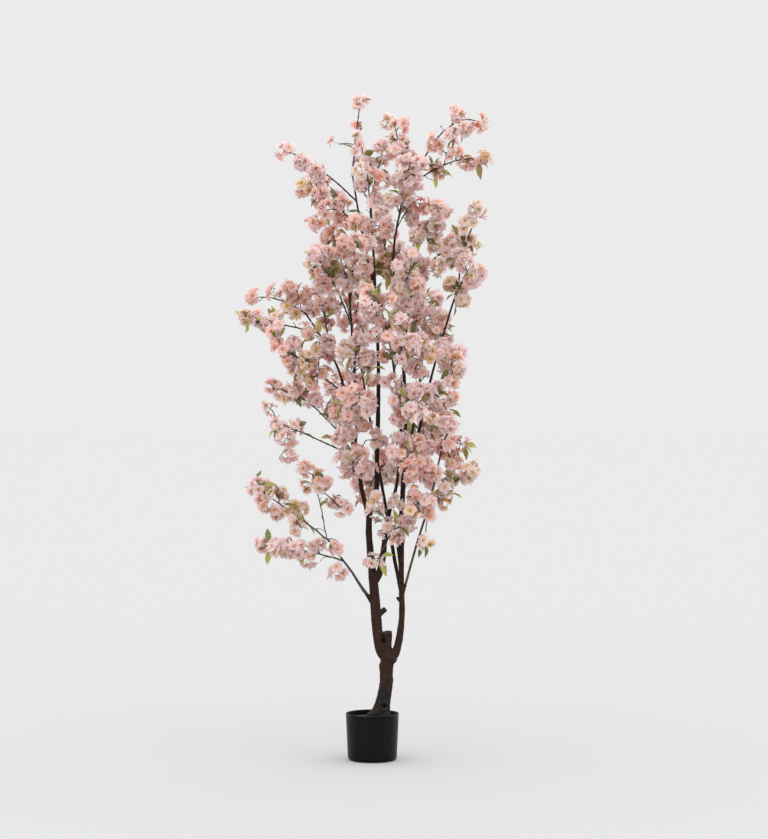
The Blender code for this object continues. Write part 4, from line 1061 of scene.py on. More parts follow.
def trunk_mesh():
    """The skin of the trunk, the lower limbs and the stubs, with its bark and four finishes."""
    heap = Gather()
    heap.add(*trunk_tube())
    for name, top in SKIN_TOPS.items():
        heap.add(*lower_tube(name, top))
    for limb, foot, end, radius in STUBS:
        heap.add(*stub_tube(foot, end, radius, limb == "trunk"))
    mesh = evaluated_mesh(heap.mesh("trunk_skin", [bark]), melt)
    raise_bark(mesh)
    mesh.materials.clear()
    for finish in (bark, foot_bark, sawn_wood, hollow_wood):
        mesh.materials.append(finish)
    for face in mesh.polygons:
        face.material_index = wood_of(face)
    mesh.shade_smooth()
    return mesh


add_piece("trunk_bark", trunk_mesh(), ["trunk"])

# %% [markdown]
# ## The stems and boughs
#
# Each is a tube of its own. Those that leave above the skin have a wide collar at their foot,
# which hides the joint as the swelling of real wood does.

# %% Stems and boughs
THIN_LIMBS = ("low_left", "low_right")  # no thicker than a twig, and finished as one
SKIN_LAP = 0.035  # how far a tube reaches down inside the skin
LAP_WIDTHS = (0.9, 0.1)  # a tube's share of its radius at its foot there, and what it gains above


def add_limb(name, rows):
    """The tube of one limb, from just inside what carries it."""
    curve = smooth_curve(rows, WOOD_STEP)
    radii = collared(curve, carrier_radius(name, rows))
    if name in SKIN_TOPS:
        high = curve[:, 2] > SKIN_TOPS[name] - SKIN_LAP
        curve, radii = curve[high], curve[high, 3]
        risen = np.clip(lengths_along(curve) / SKIN_FADE, 0, 1)
        radii = radii * (LAP_WIDTHS[0] + LAP_WIDTHS[1] * risen)
    heap = Gather()
    heap.add(*bark_tube(curve, radii))
    finish = twig_bark if name in THIN_LIMBS else bark
    add_piece(name + "_bark", heap.mesh(name + "_bark", [finish]), [name])


for name, rows in LIMBS.items():
    add_limb(name, rows)


# %% [markdown]
# ## The pot and its fill
#
# A nursery pot is blown from black polypropylene: thin walls, a slight taper and a soft foot.
# It is turned from a profile, as on a lathe. Its black isn't quite black, and it is smooth enough
# to catch the light along its sides. The fill is a rough brown cement, coloured almost black:
# partly its own dark brown, partly painted shade for the shaded inside of the pot.

# %% Plastic and cement
POT_SIDES = 128
PIN = 0.0005  # radius of the first ring round the middle, which a fan closes
FOOT_MIDDLE = 0.05  # radius of a ring half way out under the foot
RIM_ROWS = [  # of the rolled lip: past the rim's radius, and below the rim
    (0.0002, 0.0050), (0.0006, 0.0032), (0.0005, 0.0010),
    (-0.0001, 0.0002), (-0.0010, 0), (-0.0018, 0.0006),
]
RIM_OUTSIDE, RIM_INSIDE = 0.006, 0.003  # where the walls end below it
FILL_RINGS = 36
FILL_SLOPE = 4  # how fast the fill rises from its edge
FILL_LUMPS = [(0.0016, 70.0), (0.0008, 25.0)]  # small and broad ones: height, and how many to a metre
pot_plastic = finish_of("pot_plastic", (0.0020, 0.0020, 0.0022), (0.0010, 0.0010, 0.0012), 25.0, 0.38,
                        specular=0.12, stretch=0.15, grain=(650.0, 0.2), bump=0.12,
                        bump_height=0.0001, dust=0.05)
# partly painted shade: the fill's brown is darkened to near black, as the shaded inside of the pot looks
fill_cement = finish_of("fill_cement", (0.0065, 0.0050, 0.0042), (0.0025, 0.0020, 0.0018), 180.0, 0.95,
                        specular=0.15, grain=(420.0, 0.6), bump=0.8, bump_height=0.001, dust=0.10)


# %% Turned shapes
def turned_rings(profile, sides):
    """Rings of points about Z from rows of radius and height."""
    angles = 2 * math.pi * np.arange(sides) / sides
    profile = np.array(profile)
    flat = np.stack([np.cos(angles), np.sin(angles)], axis=-1)
    rings = np.zeros((len(profile), sides, 3))
    rings[:, :, :2] = profile[:, None, :1] * flat[None]
    rings[:, :, 2] = profile[:, None, 1]
    return rings


def rounded_edge(radius, height, rounding, count=9):
    """Profile rows round the foot's edge, from the flat underside up to the wall."""
    angles = np.linspace(0, math.pi / 2, count)
    return list(zip(radius - rounding * (1 - np.sin(angles)), height + rounding * (1 - np.cos(angles))))


def wall_rows(inset, low, high, count=12):
    """Profile rows up the pot's tapered wall, inset from its outside."""
    heights = np.linspace(low, high, count)
    shares = (heights - POT_FOOT_ROUND) / (POT_HEIGHT - POT_FOOT_ROUND)
    return list(zip(POT_FOOT_RADIUS + (POT_RIM_RADIUS - POT_FOOT_RADIUS) * shares - inset, heights))


# %% Outline of the pot
def pot_profile():
    """Rows from the middle of the underside out and up, over the lip, and down to the inside's middle."""
    outside = [(PIN, 0), (FOOT_MIDDLE, 0), *rounded_edge(POT_FOOT_RADIUS, 0, POT_FOOT_ROUND)]
    outside += wall_rows(0.0, POT_FOOT_ROUND, POT_HEIGHT - RIM_OUTSIDE)[1:]
    lip = [(POT_RIM_RADIUS + past, POT_HEIGHT - below) for past, below in RIM_ROWS]
    inside = wall_rows(POT_WALL, POT_FOOT_ROUND, POT_HEIGHT - RIM_INSIDE)[::-1]
    inside += rounded_edge(POT_FOOT_RADIUS - POT_WALL, POT_WALL, POT_FOOT_ROUND - POT_WALL)[::-1][1:]
    return outside + lip + inside + [(PIN, POT_WALL)]


# %% Top of the fill
def fill_rings():
    """The fill's body, with a lumpy top."""
    edge, gap = FILL_TOP - FILL_EDGE_DROP, POT_WALL + GAP
    body = [(PIN, gap), *rounded_edge(POT_FOOT_RADIUS - gap, gap, POT_FOOT_ROUND - POT_WALL)]
    body += wall_rows(gap, POT_FOOT_ROUND, edge)[1:]
    top_radius = body[-1][0]
    shares = np.linspace(1, 0, FILL_RINGS)[1:-1]
    body += [(top_radius * share, edge + FILL_EDGE_DROP * min(1, FILL_SLOPE * (1 - share)))
             for share in shares]
    rings = turned_rings(body, POT_SIDES)
    (small, small_scale), (broad, broad_scale) = FILL_LUMPS
    for ring_points in rings[-len(shares):]:
        for point in ring_points:
            inner = 1 - (math.hypot(point[0], point[1]) / top_radius) ** 6
            point[2] += inner * (small * noise.fractal(Vector(point) * small_scale, 0.8, 2.0, 4)
                                 + broad * noise.noise(Vector(point) * broad_scale))
    return rings


# %% Build the pot and its fill
def add_turned(name, rings, material, node_name):
    """A piece turned about Z."""
    heap = Gather()
    heap.add(*closed_tube(rings))
    add_piece(name, heap.mesh(name, [material]), [node_name])


add_turned("nursery_pot", turned_rings(pot_profile(), POT_SIDES), pot_plastic, "pot")
add_turned("pot_cement", fill_rings(), fill_cement, "pot_fill")

# %% [markdown]
# ## Twigs
#
# The stem of each mass is a wire in a thin brown skin. What makes it read as a twig is that it
# isn't smooth: it swells at each bud scar and turns a little there. Short bare spurs stand on it
# with a closed bud at their end. From the stem a thin twig runs to the heart of each bunch.

# %% Twig shapes
TWIG_SIDES = 7
TWIG_STEP = 0.004
STEM_COLLAR, STEM_COLLAR_LENGTH = 0.30, 0.008
SCAR_SPACING, LAST_SCAR = (0.016, 0.034), 0.004  # and the least distance from the tip
SCAR_SWELL, SCAR_LENGTH = 0.38, 0.0022
KINK, KINK_LENGTH = 0.0011, 0.012  # sideways turn at a scar
SPUR_SHARE = 0.38  # chance of a spur at a scar
SPUR_LENGTH, SPUR_LEAN, SPUR_RADII = (0.012, 0.030), (0.2, 0.9), (0.0013, 0.0008)
SPUR_LIFT, SPUR_BEND, SPUR_PULL = 0.6, 0.12, 0.02  # upwards, along its stem and back towards it
BUD_RADIUS, BUD_SPREAD, BUD_LENGTH = 0.0019, (0.7, 1.1), 3.4  # its length is in its own radii
BUD_SHARES = np.array([0.0, 0.25, 0.55, 0.85, 1.0])
BUD_WIDTHS = np.array([0.55, 1.0, 0.95, 0.5, 0.08])
BEND_POINTS, SPUR_SIDES, BUD_SIDES = 5, 5, 6


def scarred_stem(rows, rng):
    """A twig with scars: its curve, the length along it, its radii, and the scars' places and turns."""
    curve = smooth_curve(rows, TWIG_STEP)
    along = lengths_along(curve)
    radii = curve[:, 3] * (1 + STEM_COLLAR * np.exp(-(along / STEM_COLLAR_LENGTH) ** 2))
    frames = frames_along(curve)
    scars, place = [], rng.uniform(*SCAR_SPACING)
    while place < along[-1] - LAST_SCAR:
        near = np.exp(-((along - place) / SCAR_LENGTH) ** 2)
        radii = radii * (1 + SCAR_SWELL * near)
        turn = rng.uniform(0, 2 * math.pi)
        bend = np.exp(-((along - place) / KINK_LENGTH) ** 2)[:, None]
        curve[:, :3] += KINK * bend * (frames[:, 0] * math.cos(turn) + frames[:, 1] * math.sin(turn))
        scars.append((place, turn))
        place += rng.uniform(*SCAR_SPACING)
    return curve, along, radii, scars


# %% Spurs and buds
def thin_tube(points, radii, sides):
    """A tube through a few points."""
    rows = np.column_stack([points, radii])
    return closed_tube(tube_rings(rows, sides)[0])


def bent_path(start, end, bend, count):
    """Points from start to end, pushed aside by a bend vector at the middle."""
    shares = np.linspace(0, 1, count)[:, None]
    return start + shares * (end - start) + 4 * shares * (1 - shares) * bend


def bud(foot, direction, radius):
    """A closed bud: a drop of five rings."""
    points = foot + np.outer(BUD_SHARES * BUD_LENGTH * radius, direction)
    return thin_tube(points, radius * BUD_WIDTHS, BUD_SIDES)


def add_spur(heap, point, axis, turn, rng):
    """A short bare twig that curves out from a scar and ends in a bud."""
    direction = side_direction(axis, turn, rng.uniform(*SPUR_LEAN))
    length = rng.uniform(*SPUR_LENGTH)
    end = point + direction * length
    bend = unit(axis + np.array([0, 0, SPUR_LIFT])) * SPUR_BEND - direction * SPUR_PULL
    path = bent_path(point, end, bend * length * rng.choice((-1, 1)), BEND_POINTS)
    heap.add(*thin_tube(path, np.linspace(*SPUR_RADII, BEND_POINTS), SPUR_SIDES))
    heap.add(*bud(path[-1], unit(path[-1] - path[-2]), BUD_RADIUS * rng.uniform(*BUD_SPREAD)))


def add_stem(heap, rows, rng):
    """A scarred stem with its spurs."""
    curve, along, radii, scars = scarred_stem(rows, rng)
    heap.add(*closed_tube(tube_rings(curve, TWIG_SIDES, radii)[0]))
    for place, turn in scars:
        if rng.random() < SPUR_SHARE:
            index = int(np.searchsorted(along, place))
            add_spur(heap, curve[index, :3], unit(curve[index, :3] - curve[index - 1, :3]), turn, rng)


# %% [markdown]
# ## Bunches
#
# A bunch is three to six double flowers on short green stalks from one knot. They face out of it
# all round, the first along its own twig, and a fixed turn from one to the next keeps them from
# lining up. Bare lengths of the stems get smaller bunches of one to three, the fillers. We place
# the flowers first, and shape them afterwards.

# %% Places of the flowers
FLOWERS_IN_BUNCH = (4, 4, 5, 5, 6)
FLOWERS_AT_TIP = (3, 3, 4, 4, 5)
FLOWER_SPAN = (0.040, 0.050)
FLOWER_OUT = 0.56  # of the bunch's radius, from its middle to a flower's heart
OUT_SPREAD = (0.65, 1.30)
FACING_JITTER = 0.38
SPREAD, SPREAD_JITTER = 2.15, 0.15  # radians from the bunch's own direction to its last flower
FIRST_FLOWER = 0.3  # how far into the spread it starts, in flowers
GOLDEN_TURN = 2.39996
KNOT_BACK = 0.35  # of the bunch's radius, from its middle back to its knot
AT_TIP, KNOT_SINK = 0.001, 0.003  # a bunch this near its foot is a tip's, whose knot lies inside


def any_direction(rng):
    """A vector that points any way."""
    return np.array([rng.gauss(0, 1) for _ in range(3)])


def flower_places(centre, direction, radius, count, rng):
    """The heart, facing and span of each flower of one bunch."""
    side = unit(np.cross(direction, [0.2, 0.3, 1.0]))
    up = np.cross(direction, side)
    turn = rng.uniform(0, 2 * math.pi)
    places = []
    for index in range(count):
        away = SPREAD * math.sqrt((index + FIRST_FLOWER) / count)
        away += rng.uniform(-SPREAD_JITTER, SPREAD_JITTER)
        turn += GOLDEN_TURN
        around = side * math.cos(turn) + up * math.sin(turn)
        facing = direction * math.cos(away) + around * math.sin(away)
        heart = centre + facing * radius * FLOWER_OUT * rng.uniform(*OUT_SPREAD)
        facing = unit(facing + FACING_JITTER * any_direction(rng))
        places.append((heart, facing, rng.uniform(*FLOWER_SPAN)))
    return places


# %% Small bunches on bare stems
FILLER_SPACING = 0.020  # along a stem, between the places tried
FILLER_OUT = 0.014
FILLER_ROOM = 0.033  # no filler where a bunch's middle is nearer than this
FILLER_RADIUS = 0.020
FILLER_FLOWERS = (1, 2, 2, 3)
FILLER_KNOT = 0.4  # of the way from its foot to its middle


def fillers(stem, first, centres, rng):
    """The foot, middle and direction of each small bunch that fills a bare length of a stem."""
    length = lengths_along(stem)[-1] * (1 - first)
    count = int(length / FILLER_SPACING)
    turn = rng.uniform(0, 2 * math.pi)
    found = []
    for index in range(count):
        row, axis = row_at_share(stem, first + (1 - first) * (index + 0.5) / count)
        turn += TURN
        direction = side_direction(axis, turn, LEAN_OUT)
        centre = row[:3] + direction * FILLER_OUT
        if all(np.linalg.norm(centre - other) > FILLER_ROOM for other in centres):
            found.append((row[:3], centre, direction))
            centres.append(centre)
    return found


# %% All the bunches
LONE_MASS, LONE_HEIGHTS = "top_left_tip", (1.93, 2.05)  # single flowers between these heights


def all_bunches():
    """Every bunch as its mass number, foot, knot and flowers, in the order of the masses."""
    bunches = []
    for number, (name, stems, blooms, leaves) in enumerate(masses):
        rng = random.Random(f"{name} flowers")
        for foot, centre, direction, radius in blooms:
            knot, counts = centre - direction * radius * KNOT_BACK, FLOWERS_IN_BUNCH
            if np.linalg.norm(centre - foot) < AT_TIP:
                knot, counts = foot - direction * KNOT_SINK, FLOWERS_AT_TIP
            count = rng.choice(counts)
            if name == LONE_MASS and LONE_HEIGHTS[0] < centre[2] < LONE_HEIGHTS[1]:
                count = 1
            bunches.append((number, foot, knot, flower_places(centre, direction, radius, count, rng)))
        centres = [centre for foot, centre, direction, radius in blooms]
        for stem, first, _ in stems:
            for foot, centre, direction in fillers(stem, first, centres, rng):
                knot = foot + (centre - foot) * FILLER_KNOT
                count = rng.choice(FILLER_FLOWERS)
                flowers = flower_places(centre, direction, FILLER_RADIUS, count, rng)
                bunches.append((number, foot, knot, flowers))
    return bunches


bunches = all_bunches()
flower_count = sum(len(flowers) for number, foot, knot, flowers in bunches)
print("flowers:", flower_count, "in", len(bunches), "bunches")

# %% Build the twigs and stalks
MASS_NAMES = [name for name, stems, blooms, leaves in masses]
stalk_green = finish_of("stalk_green", (0.260, 0.170, 0.090), (0.150, 0.090, 0.050), 300.0, 0.7,
                        grain=(1200.0, 0.4), bump=0.3, bump_height=0.0002)
CALYX_RADIUS, CALYX_LENGTH, CALYX_SIDES = 0.0026, 0.0060, 5
CALYX_SHARES = np.array([0.0, 0.4, 1.0])  # of its length, where its rings are
STALK_RADIUS, STALK_BEND, STALK_SIDES = 0.0008, 0.12, 3
LINK_RADII, LINK_BEND, LINK_SIDES = (0.0015, 0.0012), 0.06, 5  # of the twig from a stem to a knot
SHORTEST_LINK = 0.004


def add_twigs():
    """The stems of all the masses, and a twig from a stem to each knot."""
    heap = Gather()
    for name, stems, blooms, leaves in masses:
        rng = random.Random(f"{name} twigs")
        for stem, first, count in stems:
            add_stem(heap, stem, rng)
    for number, foot, knot, flowers in bunches:
        length = np.linalg.norm(knot - foot)
        if length > SHORTEST_LINK:
            bend = np.cross(unit(knot - foot), [0.3, 0.2, 0.9]) * LINK_BEND * length
            path = bent_path(foot, knot, bend, BEND_POINTS)
            heap.add(*thin_tube(path, np.linspace(*LINK_RADII, BEND_POINTS), LINK_SIDES))
    add_piece("twigs", heap.mesh("twigs", [twig_bark]), MASS_NAMES)


def add_stalks():
    """A stalk from the knot to the back of each flower, and the calyx that cups it."""
    heap = Gather()
    rng = random.Random("stalks")
    calyx_radii = STALK_RADIUS + (CALYX_RADIUS - STALK_RADIUS) * np.sqrt(CALYX_SHARES)
    for number, foot, knot, flowers in bunches:
        for heart, facing, span in flowers:
            back = heart - facing * CALYX_LENGTH
            bend = STALK_BEND * np.linalg.norm(back - knot) * unit(any_direction(rng))
            heap.add(*thin_tube(bent_path(knot, back, bend, 3), [STALK_RADIUS] * 3, STALK_SIDES))
            cup = back + np.outer(CALYX_SHARES * CALYX_LENGTH, facing)
            heap.add(*thin_tube(cup, calyx_radii, CALYX_SIDES))
    add_piece("flower_stalks", heap.mesh("flower_stalks", [stalk_green]), MASS_NAMES)


add_twigs()
add_stalks()

# %% [markdown]
# ## Flowers
#
# The flowers are double: two rings of five broad petals and a tight inner ring, cut from dyed
# cloth and pressed to a ruffle, with a notch in each tip. A petal is a small grid bent three
# ways: it lifts from the flower's plane, its sides cup up, and its edge ripples. The dye runs
# deep at the heart and pale at the rim, so each band of a petal has its own colour. Each bunch
# takes one of a few dye lots, and most bunches of a spray the same one.

# %% Dye lots
SHADES = ("rim", "petal", "blush", "heart")
DYES = {  # how often, then the colour at the rim, on the petal, at its blush and at its heart
    "lilac": (0.40, [(0.78, 0.695, 0.710), (0.84, 0.680, 0.685), (0.88, 0.63, 0.56), (0.86, 0.55, 0.34)]),
    "rose": (0.31, [(0.79, 0.66, 0.655), (0.85, 0.63, 0.605), (0.89, 0.56, 0.44), (0.82, 0.46, 0.26)]),
    "shell": (0.16, [(0.80, 0.73, 0.725), (0.85, 0.73, 0.690), (0.88, 0.69, 0.55), (0.85, 0.58, 0.28)]),
    "golden": (0.09, [(0.79, 0.68, 0.66), (0.83, 0.64, 0.54), (0.77, 0.56, 0.24), (0.54, 0.41, 0.10)]),
    "coral": (0.04, [(0.80, 0.61, 0.59), (0.83, 0.51, 0.47), (0.83, 0.41, 0.30), (0.73, 0.31, 0.18)]),
}
SPRAY_DYES = {  # most bunches of these masses take one dye lot
    "top_left_tip": "lilac", "top_left_arm": "lilac", "top_left_low": "rose", "left_crown": "rose",
    "centre_top": "lilac", "right_top_front": "lilac", "top_right_low": "rose", "far_right_top": "shell",
    "left_mid_end": "lilac", "left_mid_rise": "lilac", "low_left_under": "lilac", "front_low": "lilac",
    "front_mid": "rose", "low_right_end": "shell", "front_right": "lilac", "left_high_end": "rose",
}
SPRAY_DYE_SHARE = 0.65
DYE_CHANGE = 0.25  # chance that a flower differs from the one before it
HEARTS = {"maroon": (0.20, 0.05, 0.04), "ochre": (0.60, 0.40, 0.13), "olive": (0.42, 0.38, 0.13)}
HEART_ODDS = (0.10, 0.58, 0.32)
CLOTH_MOTTLE, HEART_MOTTLE = 0.90, 0.75  # the darker colour, as a share of the lighter


def darker(colour, share):
    """A share of a colour."""
    return tuple(part * share for part in colour)


def petal_finishes():
    """One cloth for each band of each dye lot, then one for each kind of heart."""
    made = []
    for dye, (odds, colours) in DYES.items():
        for shade, colour in zip(SHADES, colours):
            made.append(finish_of(
                f"{dye}_{shade}", colour, darker(colour, CLOTH_MOTTLE), 210.0, 0.72, specular=0.25,
                grain=(1500.0, 0.22), bump=0.2, bump_height=0.0002, sheen=0.15, glow=0.55))
    for heart, colour in HEARTS.items():
        made.append(finish_of(
            f"{heart}_heart", colour, darker(colour, HEART_MOTTLE), 500.0, 0.8,
            grain=(1500.0, 0.6), bump=0.4, bump_height=0.0002))
    return made


petal_cloth = petal_finishes()
print("petal finishes:", len(petal_cloth))

# %% Petals
RINGS = [  # petals, length and width in the flower's radius, lift, curl and cup, columns of the grid
    (5, 1.08, 0.92, 0.08, 0.26, 0.06, 5),
    (5, 0.92, 0.88, 0.40, 0.40, 0.12, 4),
    (3, 0.64, 0.66, 0.82, 0.50, 0.24, 4),
]
ROW_SHARES = np.array([0.06, 0.28, 0.56, 0.82, 1.0])
ROW_WIDTHS = np.array([0.15, 0.46, 0.84, 1.00, 0.70])
TIP_START, TIP_LENGTH = 0.8, 0.2  # along a petal, where its edge is shaped
NOTCH, NOTCH_SHARPNESS, TIP_ROUND, RAGGED = 0.22, 1.5, 0.16, 0.07
RUFFLE, RUFFLE_WAVES = 0.13, (2.6, 4.2)
OPENNESS = (-0.10, 0.65)  # added to every lift: some flowers are half shut
LENGTH_SPREAD = (0.72, 1.14)
ROW_BANDS = (3, 2, 1, 0)  # heart, blush, petal, rim
TILT_SPREAD, CURL_SPREAD, ANGLE_SPREAD = 0.28, 0.20, 0.18


def petal_grid(length, width, lift, curl, cup, columns, rng):
    """Points of one petal: X across it, Y along it and Z out of the flower."""
    across = np.linspace(-1, 1, columns)[None, :]
    along = ROW_SHARES[:, None]
    x = 0.5 * width * ROW_WIDTHS[:, None] * across
    tip = np.maximum(0, along - TIP_START) / TIP_LENGTH
    ragged = np.array([rng.uniform(-RAGGED, RAGGED) for _ in range(columns)])[None, :]
    cut = NOTCH * (1 - np.abs(across)) ** NOTCH_SHARPNESS + TIP_ROUND * across ** 4 + ragged
    y = length * (along - tip * cut)
    phase = rng.uniform(0, 2 * math.pi)
    ripple = RUFFLE * length * along ** 2 * np.sin(phase + rng.uniform(*RUFFLE_WAVES) * across)
    angle = lift - curl * along
    z = y * np.sin(angle) + cup * width * along * across ** 2 + ripple
    return np.stack([x, y * np.cos(angle), z], axis=-1)


# %% Rings of petals
def turned_grid(grid, angle):
    """The points of a grid turned about Z, one to a row."""
    x, y, z = grid[..., 0], grid[..., 1], grid[..., 2]
    cos, sin = math.cos(angle), math.sin(angle)
    return np.stack([x * cos - y * sin, x * sin + y * cos, z], axis=-1).reshape(-1, 3)


def petal_ring(ring, span, shut, dye, rng):
    """The petals of one ring of a flower."""
    count, length, width, lift, curl, cup, columns = ring
    faces = grid_faces(len(ROW_SHARES), columns, False)
    bands = len(SHADES) * dye + np.repeat(ROW_BANDS, columns - 1)
    start = rng.uniform(0, 2 * math.pi)
    petals = []
    for index in range(count):
        size = 0.5 * span * rng.uniform(*LENGTH_SPREAD)
        raised = lift + shut + rng.uniform(-TILT_SPREAD, TILT_SPREAD)
        curled = curl + rng.uniform(-CURL_SPREAD, CURL_SPREAD)
        grid = petal_grid(size * length, size * width, raised, curled, cup, columns, rng)
        angle = start + 2 * math.pi * (index + rng.uniform(-ANGLE_SPREAD, ANGLE_SPREAD)) / count
        petals.append((turned_grid(grid, angle), faces, bands))
    return petals


# %% Eye and stamens
EYE_HEIGHTS, EYE_RADII, EYE_SIDES = (0.0005, 0.0022, 0.0035), (0.0030, 0.0028, 0.0010), 5
STAMENS, STAMEN_SIDES, STAMEN_RADII = 4, 3, (0.0004, 0.0006, 0.0008)
STAMEN_TURN, STAMEN_LEAN, STAMEN_LENGTH = 0.4, (0.25, 0.6), (0.12, 0.19)  # the length in spans
STAMEN_FOOT, ANTHER = 0.001, 0.0014


def flower_eye(span, shade, rng):
    """The eye of a flower and its stamens."""
    parts = [(*thin_tube(np.outer(EYE_HEIGHTS, (0, 0, 1.0)), EYE_RADII, EYE_SIDES), shade)]
    for index in range(STAMENS):
        angle = 2 * math.pi * index / STAMENS + rng.uniform(-STAMEN_TURN, STAMEN_TURN)
        lean = rng.uniform(*STAMEN_LEAN)
        out = (math.cos(angle) * math.sin(lean), math.sin(angle) * math.sin(lean), math.cos(lean))
        length = span * rng.uniform(*STAMEN_LENGTH)
        points = np.outer((STAMEN_FOOT, length, length + ANTHER), out)
        parts.append((*thin_tube(points, STAMEN_RADII, STAMEN_SIDES), shade))
    return parts


# %% One flower
def flower_parts(span, dye, heart, rng):
    """The points, faces and shades of each part of a flower about its own origin, facing +Z."""
    parts = []
    shut = rng.uniform(*OPENNESS)
    for ring in RINGS:
        parts += petal_ring(ring, span, shut, dye, rng)
    return parts + flower_eye(span, len(SHADES) * len(DYES) + heart, rng)


def add_flower(heap, heart_place, facing, parts, turn):
    """Stands a flower at its place, facing out."""
    side = unit(np.cross(facing, [0.31, 0.17, 0.93]))
    up = np.cross(facing, side)
    across = side * math.cos(turn) + up * math.sin(turn)
    axes = np.array([across, np.cross(facing, across), facing])
    for points, faces, shades in parts:
        heap.add(heart_place + points @ axes, faces, shades)


# %% Build the flowers, one piece for each dye slot of the frame
BLOSSOM_SLOTS = ("blossom_rose", "blossom_coral", "blossom_pale", "blossom_cream", "blossom_deep")


def draw_dye(number, rng):
    """The dye lot of a bunch: that of its spray, or any."""
    own = SPRAY_DYES.get(MASS_NAMES[number])
    if rng.random() < SPRAY_DYE_SHARE and own:
        return list(DYES).index(own)
    return rng.choices(range(len(DYES)), [odds for odds, colours in DYES.values()])[0]


def add_blossom():
    """Deals the masses out to the slots, as the frame does, and gathers each slot's flowers."""
    for slot_number, slot in enumerate(BLOSSOM_SLOTS):
        heap = Gather()
        rng = random.Random(slot)
        for number, foot, knot, flowers in bunches:
            if number % len(BLOSSOM_SLOTS) != slot_number:
                continue
            dye = draw_dye(number, rng)
            for heart_place, facing, span in flowers:
                if rng.random() < DYE_CHANGE:
                    dye = draw_dye(number, rng)
                heart = rng.choices(range(len(HEARTS)), HEART_ODDS)[0]
                parts = flower_parts(span, dye, heart, rng)
                add_flower(heap, heart_place, facing, parts, rng.uniform(0, 2 * math.pi))
        replaced = MASS_NAMES[slot_number::len(BLOSSOM_SLOTS)]
        add_piece(slot, heap.mesh(slot, petal_cloth), replaced)


add_blossom()

# %% [markdown]
# ## Leaves
#
# Young cherry leaves stand in ones and twos at the foot of a bunch: pointed ovals, folded along
# the midrib, with a finely toothed edge and a tip that curls down. Each is one small grid of
# cloth. Three greens are dealt out by leaf, from fresh olive to brown.

# %% Leaves
LEAF_GREENS = {"fresh_green": ((0.410, 0.390, 0.105), (0.270, 0.260, 0.065)),
               "deep_green": ((0.175, 0.178, 0.050), (0.095, 0.100, 0.030)),
               "olive_brown": ((0.320, 0.250, 0.085), (0.185, 0.142, 0.050))}
GREEN_ODDS = (0.36, 0.36, 0.28)
LEAF_SPAN = (0.030, 0.048)
LEAF_ROWS, LEAF_COLUMNS = 11, 5
LEAF_BREADTH, LEAF_POINT = 0.44, 0.0004  # its breadth in lengths, and that of its tip
LEAF_BELLY, LEAF_FULLNESS = 0.80, 0.85  # how near its foot it is broadest, and how blunt its ends are
LEAF_TEETH = 0.07
LEAF_FOLD, LEAF_DROOP, LEAF_TWIST = (0.25, 0.6), (0.08, 0.38), 0.5
LEAF_WAVE, LEAF_WAVES, LEAF_WAVE_START = 0.03, 9, 2.0  # height, radians along it, and where it starts
LEAF_TILT, LEAF_TO_FRONT = 0.45, 0.35  # of its face, from straight up
LEAF_OUT = 0.8  # how much it follows its bunch's direction
OWN_LEAF = 0.80  # length of a leaf of the frame, as a share of the plain one
LEAF_AT_BUNCH = 0.65  # chance of a leaf, and then of another, besides those of the frame
LEAF_STALK, LEAF_STALK_RADII, LEAF_STALK_SIDES = 0.016, (0.0007, 0.0006, 0.0006), 4
STALK_LIFT = np.array([0, 0, 0.001])
LEAF_ROOM = 0.004  # past the frame's box
leaf_cloth = [
    finish_of(f"leaf_{name}", light, dark, 160.0, 0.55, specular=0.35, grain=(1100.0, 0.4),
              bump=0.35, bump_height=0.0002, sheen=0.1, glow=0.3)
    for name, (light, dark) in LEAF_GREENS.items()
]

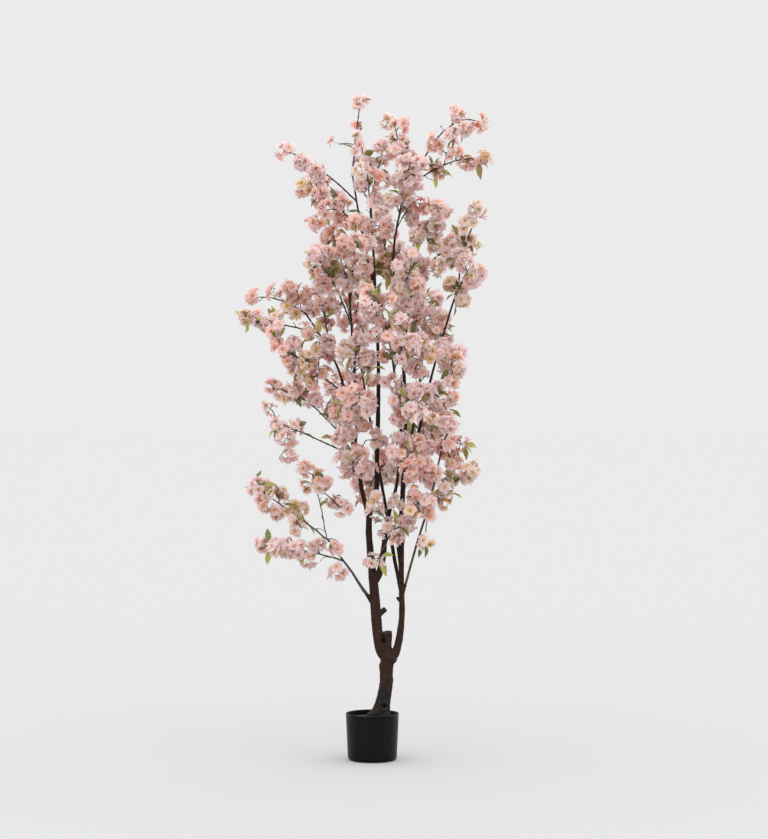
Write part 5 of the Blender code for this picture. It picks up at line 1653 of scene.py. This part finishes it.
# %% One leaf
def leaf_grid(length, rng):
    """Points of one leaf: X across it, Y along it and Z up from its face."""
    along = np.linspace(0, 1, LEAF_ROWS)[:, None]
    across = np.linspace(-1, 1, LEAF_COLUMNS)[None, :]
    width = LEAF_BREADTH * length * np.sin(math.pi * along ** LEAF_BELLY) ** LEAF_FULLNESS + LEAF_POINT
    teeth = 1 + LEAF_TEETH * np.where(np.arange(LEAF_ROWS) % 2, 1, -1)[:, None] * np.abs(across) ** 3
    x = 0.5 * width * teeth * across
    fold, droop = rng.uniform(*LEAF_FOLD), rng.uniform(*LEAF_DROOP)
    twist = rng.uniform(-LEAF_TWIST, LEAF_TWIST)
    z = fold * np.abs(x) - droop * length * along ** 2 + twist * x * along
    z = z + LEAF_WAVE * length * np.sin(LEAF_WAVES * along + LEAF_WAVE_START) * np.abs(across)
    return np.stack([x, length * along * np.ones_like(across), z], axis=-1)


def add_leaf(heap, foot, direction, length, rng):
    """A stalk, then the leaf, its face turned mostly up."""
    green = rng.choices(range(len(LEAF_GREENS)), GREEN_ODDS)[0]
    base = foot + direction * LEAF_STALK
    stalk = bent_path(foot, base, STALK_LIFT, 3)
    heap.add(*thin_tube(stalk, LEAF_STALK_RADII, LEAF_STALK_SIDES), green)
    face = unit(np.array([rng.gauss(0, LEAF_TILT), rng.gauss(0, LEAF_TILT) - LEAF_TO_FRONT, 1.0]))
    across = unit(np.cross(direction, face))
    rows = np.array([across, direction, np.cross(across, direction)])
    grid = leaf_grid(length, rng).reshape(-1, 3)
    heap.add(base + grid @ rows, grid_faces(LEAF_ROWS, LEAF_COLUMNS, False), green)


# %% Build the leaves
def within_frame(point):
    """Whether a leaf's tip stays in the frame's box, or close by it."""
    low, high = np.array(frame_low) - LEAF_ROOM, np.array(frame_high) + LEAF_ROOM
    return bool(np.all(point > low) and np.all(point < high))


def add_leaves():
    """The frame's own leaves, then by chance some at each bunch."""
    heap = Gather()
    count = 0
    for name, stems, blooms, leaves in masses:
        rng = random.Random(f"{name} leaves")
        for foot, direction, length in leaves:
            add_leaf(heap, foot, direction, OWN_LEAF * length, rng)
            count += 1
        for foot, centre, direction, radius in blooms:
            while rng.random() < LEAF_AT_BUNCH:
                out = unit(unit(any_direction(rng)) + direction * LEAF_OUT)
                length = rng.uniform(*LEAF_SPAN)
                if within_frame(foot + out * (LEAF_STALK + length)):
                    add_leaf(heap, foot, out, length, rng)
                    count += 1
    add_piece("leaves", heap.mesh("leaves", leaf_cloth), MASS_NAMES)
    print("leaves:", count)


add_leaves()

# %% [markdown]
# ## Sizes
#
# The dressed tree has to stay the size of its frame.

# %% Update the scene
bpy.context.view_layer.update()
